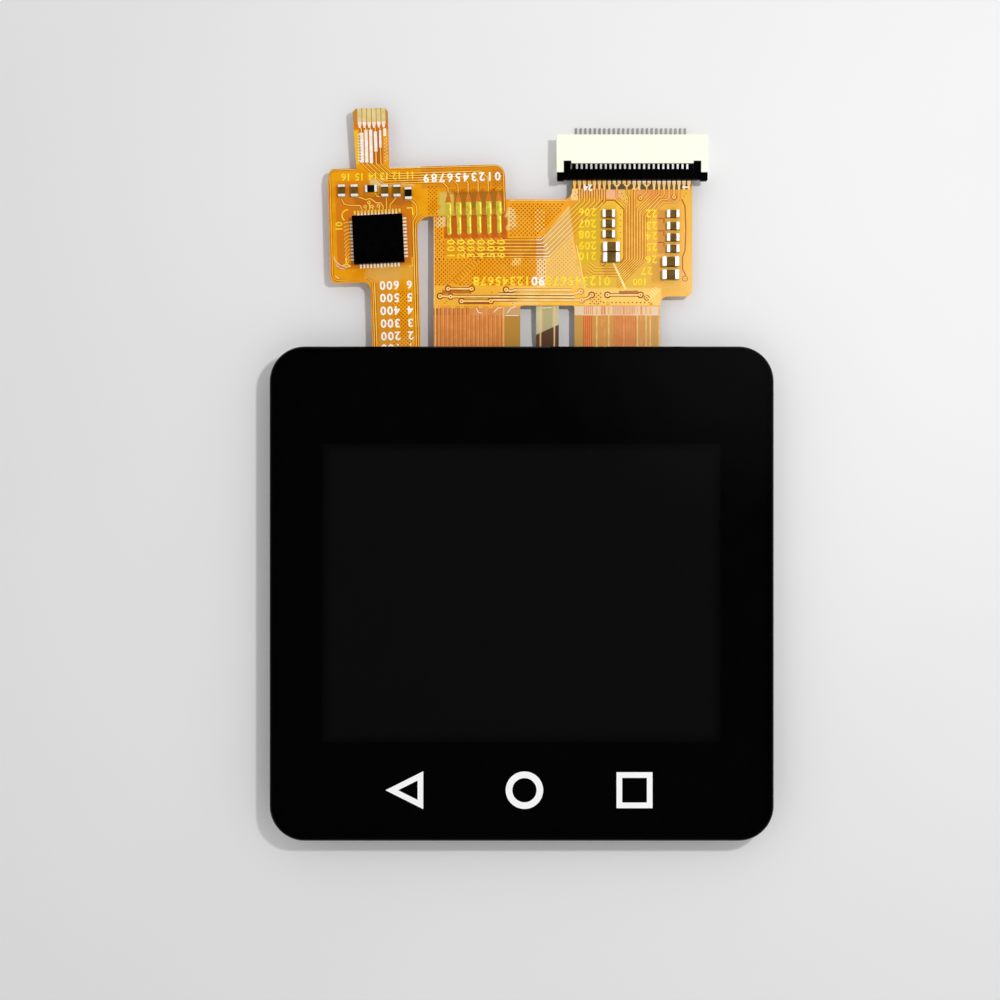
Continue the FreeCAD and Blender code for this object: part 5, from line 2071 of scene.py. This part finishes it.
@dataclass
class Studio:
    """Floor, light and camera.

    Attributes:
        camera_at: The camera's place, in millimetres; it looks straight down.
        focal: Focal length on a 36 mm sensor.
        lamp_at: The key lamp's place, in millimetres.
        lamp_power: Its power, in watts.
        lamp_radius: Its radius, in millimetres.
        sky: Brightness of the surroundings.
        zenith: Brightness straight above, where the camera hangs.
        dark_half: Half angle of the darker part round the zenith, in degrees.
        dark_core: Half angle inside which it is fully dark.
        halo: Brightness of the glow round the key lamp, which the lens mirrors in one corner.
        halo_half: Half angle of that glow, in degrees.
        corner_at: The lens's upper right corner, from where the glow is aimed.
        floor_half: Half of the floor's width, in millimetres.
    """

    camera_at: tuple[float, float, float] = (-2.237, 9.66, 146.6)
    focal: float = 50.0
    lamp_at: tuple[float, float, float] = (54.0, 50.0, 135.0)
    lamp_power: float = 0.337
    lamp_radius: float = 5.0
    sky: float = 1.02
    zenith: float = 0.012
    dark_half: float = 30.0
    dark_core: float = 19.0
    halo: float = 0.13
    halo_half: float = 12.0
    corner_at: tuple[float, float, float] = (26.0, 25.5, 3.4)
    floor_half: float = 900.0

    def floor(self) -> None:
        """A pale floor with a very fine grain."""
        half = self.floor_half * MM
        mesh = bpy.data.meshes.new("studio_floor")
        mesh.from_pydata([(-half, -half, 0), (half, -half, 0), (half, half, 0), (-half, half, 0)], [],
                         [(0, 1, 2, 3)])
        paper = Finish((233, 233, 234), (231, 231, 232), patch=60.0, rough=0.9, shine=0.05,
                       grain=1.5, depth=0.0)
        piece = as_object("studio_floor", mesh, paper.make("floor_card"))

    def world(self) -> None:
        """Even surroundings that are dark round the camera, so that glass stays black."""
        graph = Graph(bpy.data.worlds.new("surroundings"))
        bpy.context.scene.world = graph.owner
        toward = graph.node("ShaderNodeTexCoord").outputs["Generated"]
        dark_from, dark_full, halo_from = (
            math.cos(math.radians(angle)) for angle in (self.dark_half, self.dark_core, self.halo_half))
        even = graph.axes(toward)[2].ramp(dark_from, dark_full, self.sky, self.zenith)
        aim = (Vector(self.lamp_at) - Vector(self.corner_at)).normalized()
        along = graph.node("ShaderNodeVectorMath", {"operation": "DOT_PRODUCT"}, {0: toward, 1: aim})
        glow = Num(graph, along.outputs["Value"]).ramp(halo_from, 1.0, 0.0, self.halo)
        back = graph.node("ShaderNodeBackground", None, {"Strength": even + glow})
        graph.node("ShaderNodeOutputWorld", None, {"Surface": back.outputs[0]})

    def lamp(self) -> None:
        """The small key lamp up on the right."""
        light = bpy.data.lights.new("key_lamp", "POINT")
        light.energy = self.lamp_power
        light.shadow_soft_size = self.lamp_radius * MM
        made = bpy.data.objects.new("key_lamp", light)
        made.location = Vector(self.lamp_at) * MM
        bpy.context.scene.collection.objects.link(made)

    def camera(self) -> None:
        """The camera, straight above."""
        lens = bpy.data.cameras.new("camera")
        lens.lens = self.focal
        lens.clip_start = 0.001
        lens.clip_end = 10.0
        made = bpy.data.objects.new("camera", lens)
        made.location = Vector(self.camera_at) * MM
        bpy.context.scene.collection.objects.link(made)
        bpy.context.scene.camera = made

    def build(self) -> None:
        """Sets up the studio."""
        bpy.context.scene.view_settings.view_transform = "Standard"
        self.camera()
        self.lamp()
        self.world()
        self.floor()


def main() -> None:
    """Builds and dresses everything in order."""
    logging.basicConfig(level=logging.INFO, format="%(name)s: %(message)s")
    for thing in list(bpy.data.objects):
        bpy.data.objects.remove(thing)
    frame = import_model()
    store = Store()
    ribbon = RibbonTree()
    stamp = StampTree()
    edge_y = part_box("cover_glass")[1].y / MM
    display_film = Film(Vector((0, edge_y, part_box("small_capacitor_terminals")[0].z / MM)))
    touch_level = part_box("touch_chip_pads")[0].z / MM
    touch_film = Film(Vector((TOUCH_X, edge_y, touch_level)), lean=TOUCH_LEAN, bend_low=-0.9, bend_high=1.7,
                      rise=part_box("touch_sensor")[0].z / MM - touch_level)
    Studio().build()
    for node, finish in PLAIN_NODES.items():
        dress(frame, node, store.get(finish))
    Lens(store).build(frame)
    BacklightTail(store).build(frame, edge_y)
    first_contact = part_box("connector_contacts")[0].x / MM + HALF_CONTACT
    display_art = Artwork(display_film, store, ribbon, stamp, DISPLAY_LOOKS)
    DisplayFlex(store, display_film, display_art, first_contact).build(frame)
    Connector(store).build(frame)
    TouchFlex(store, touch_film, Artwork(touch_film, store, ribbon, stamp, TOUCH_LOOKS)).build(frame)
    SolderRow(store, touch_film).build()
    PartFillets(store).build(frame, {
        "small_capacitor_terminals": display_film, "large_capacitor_terminals": display_film,
        "touch_part_terminals": touch_film})
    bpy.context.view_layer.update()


if __name__ == "__main__":
    main()
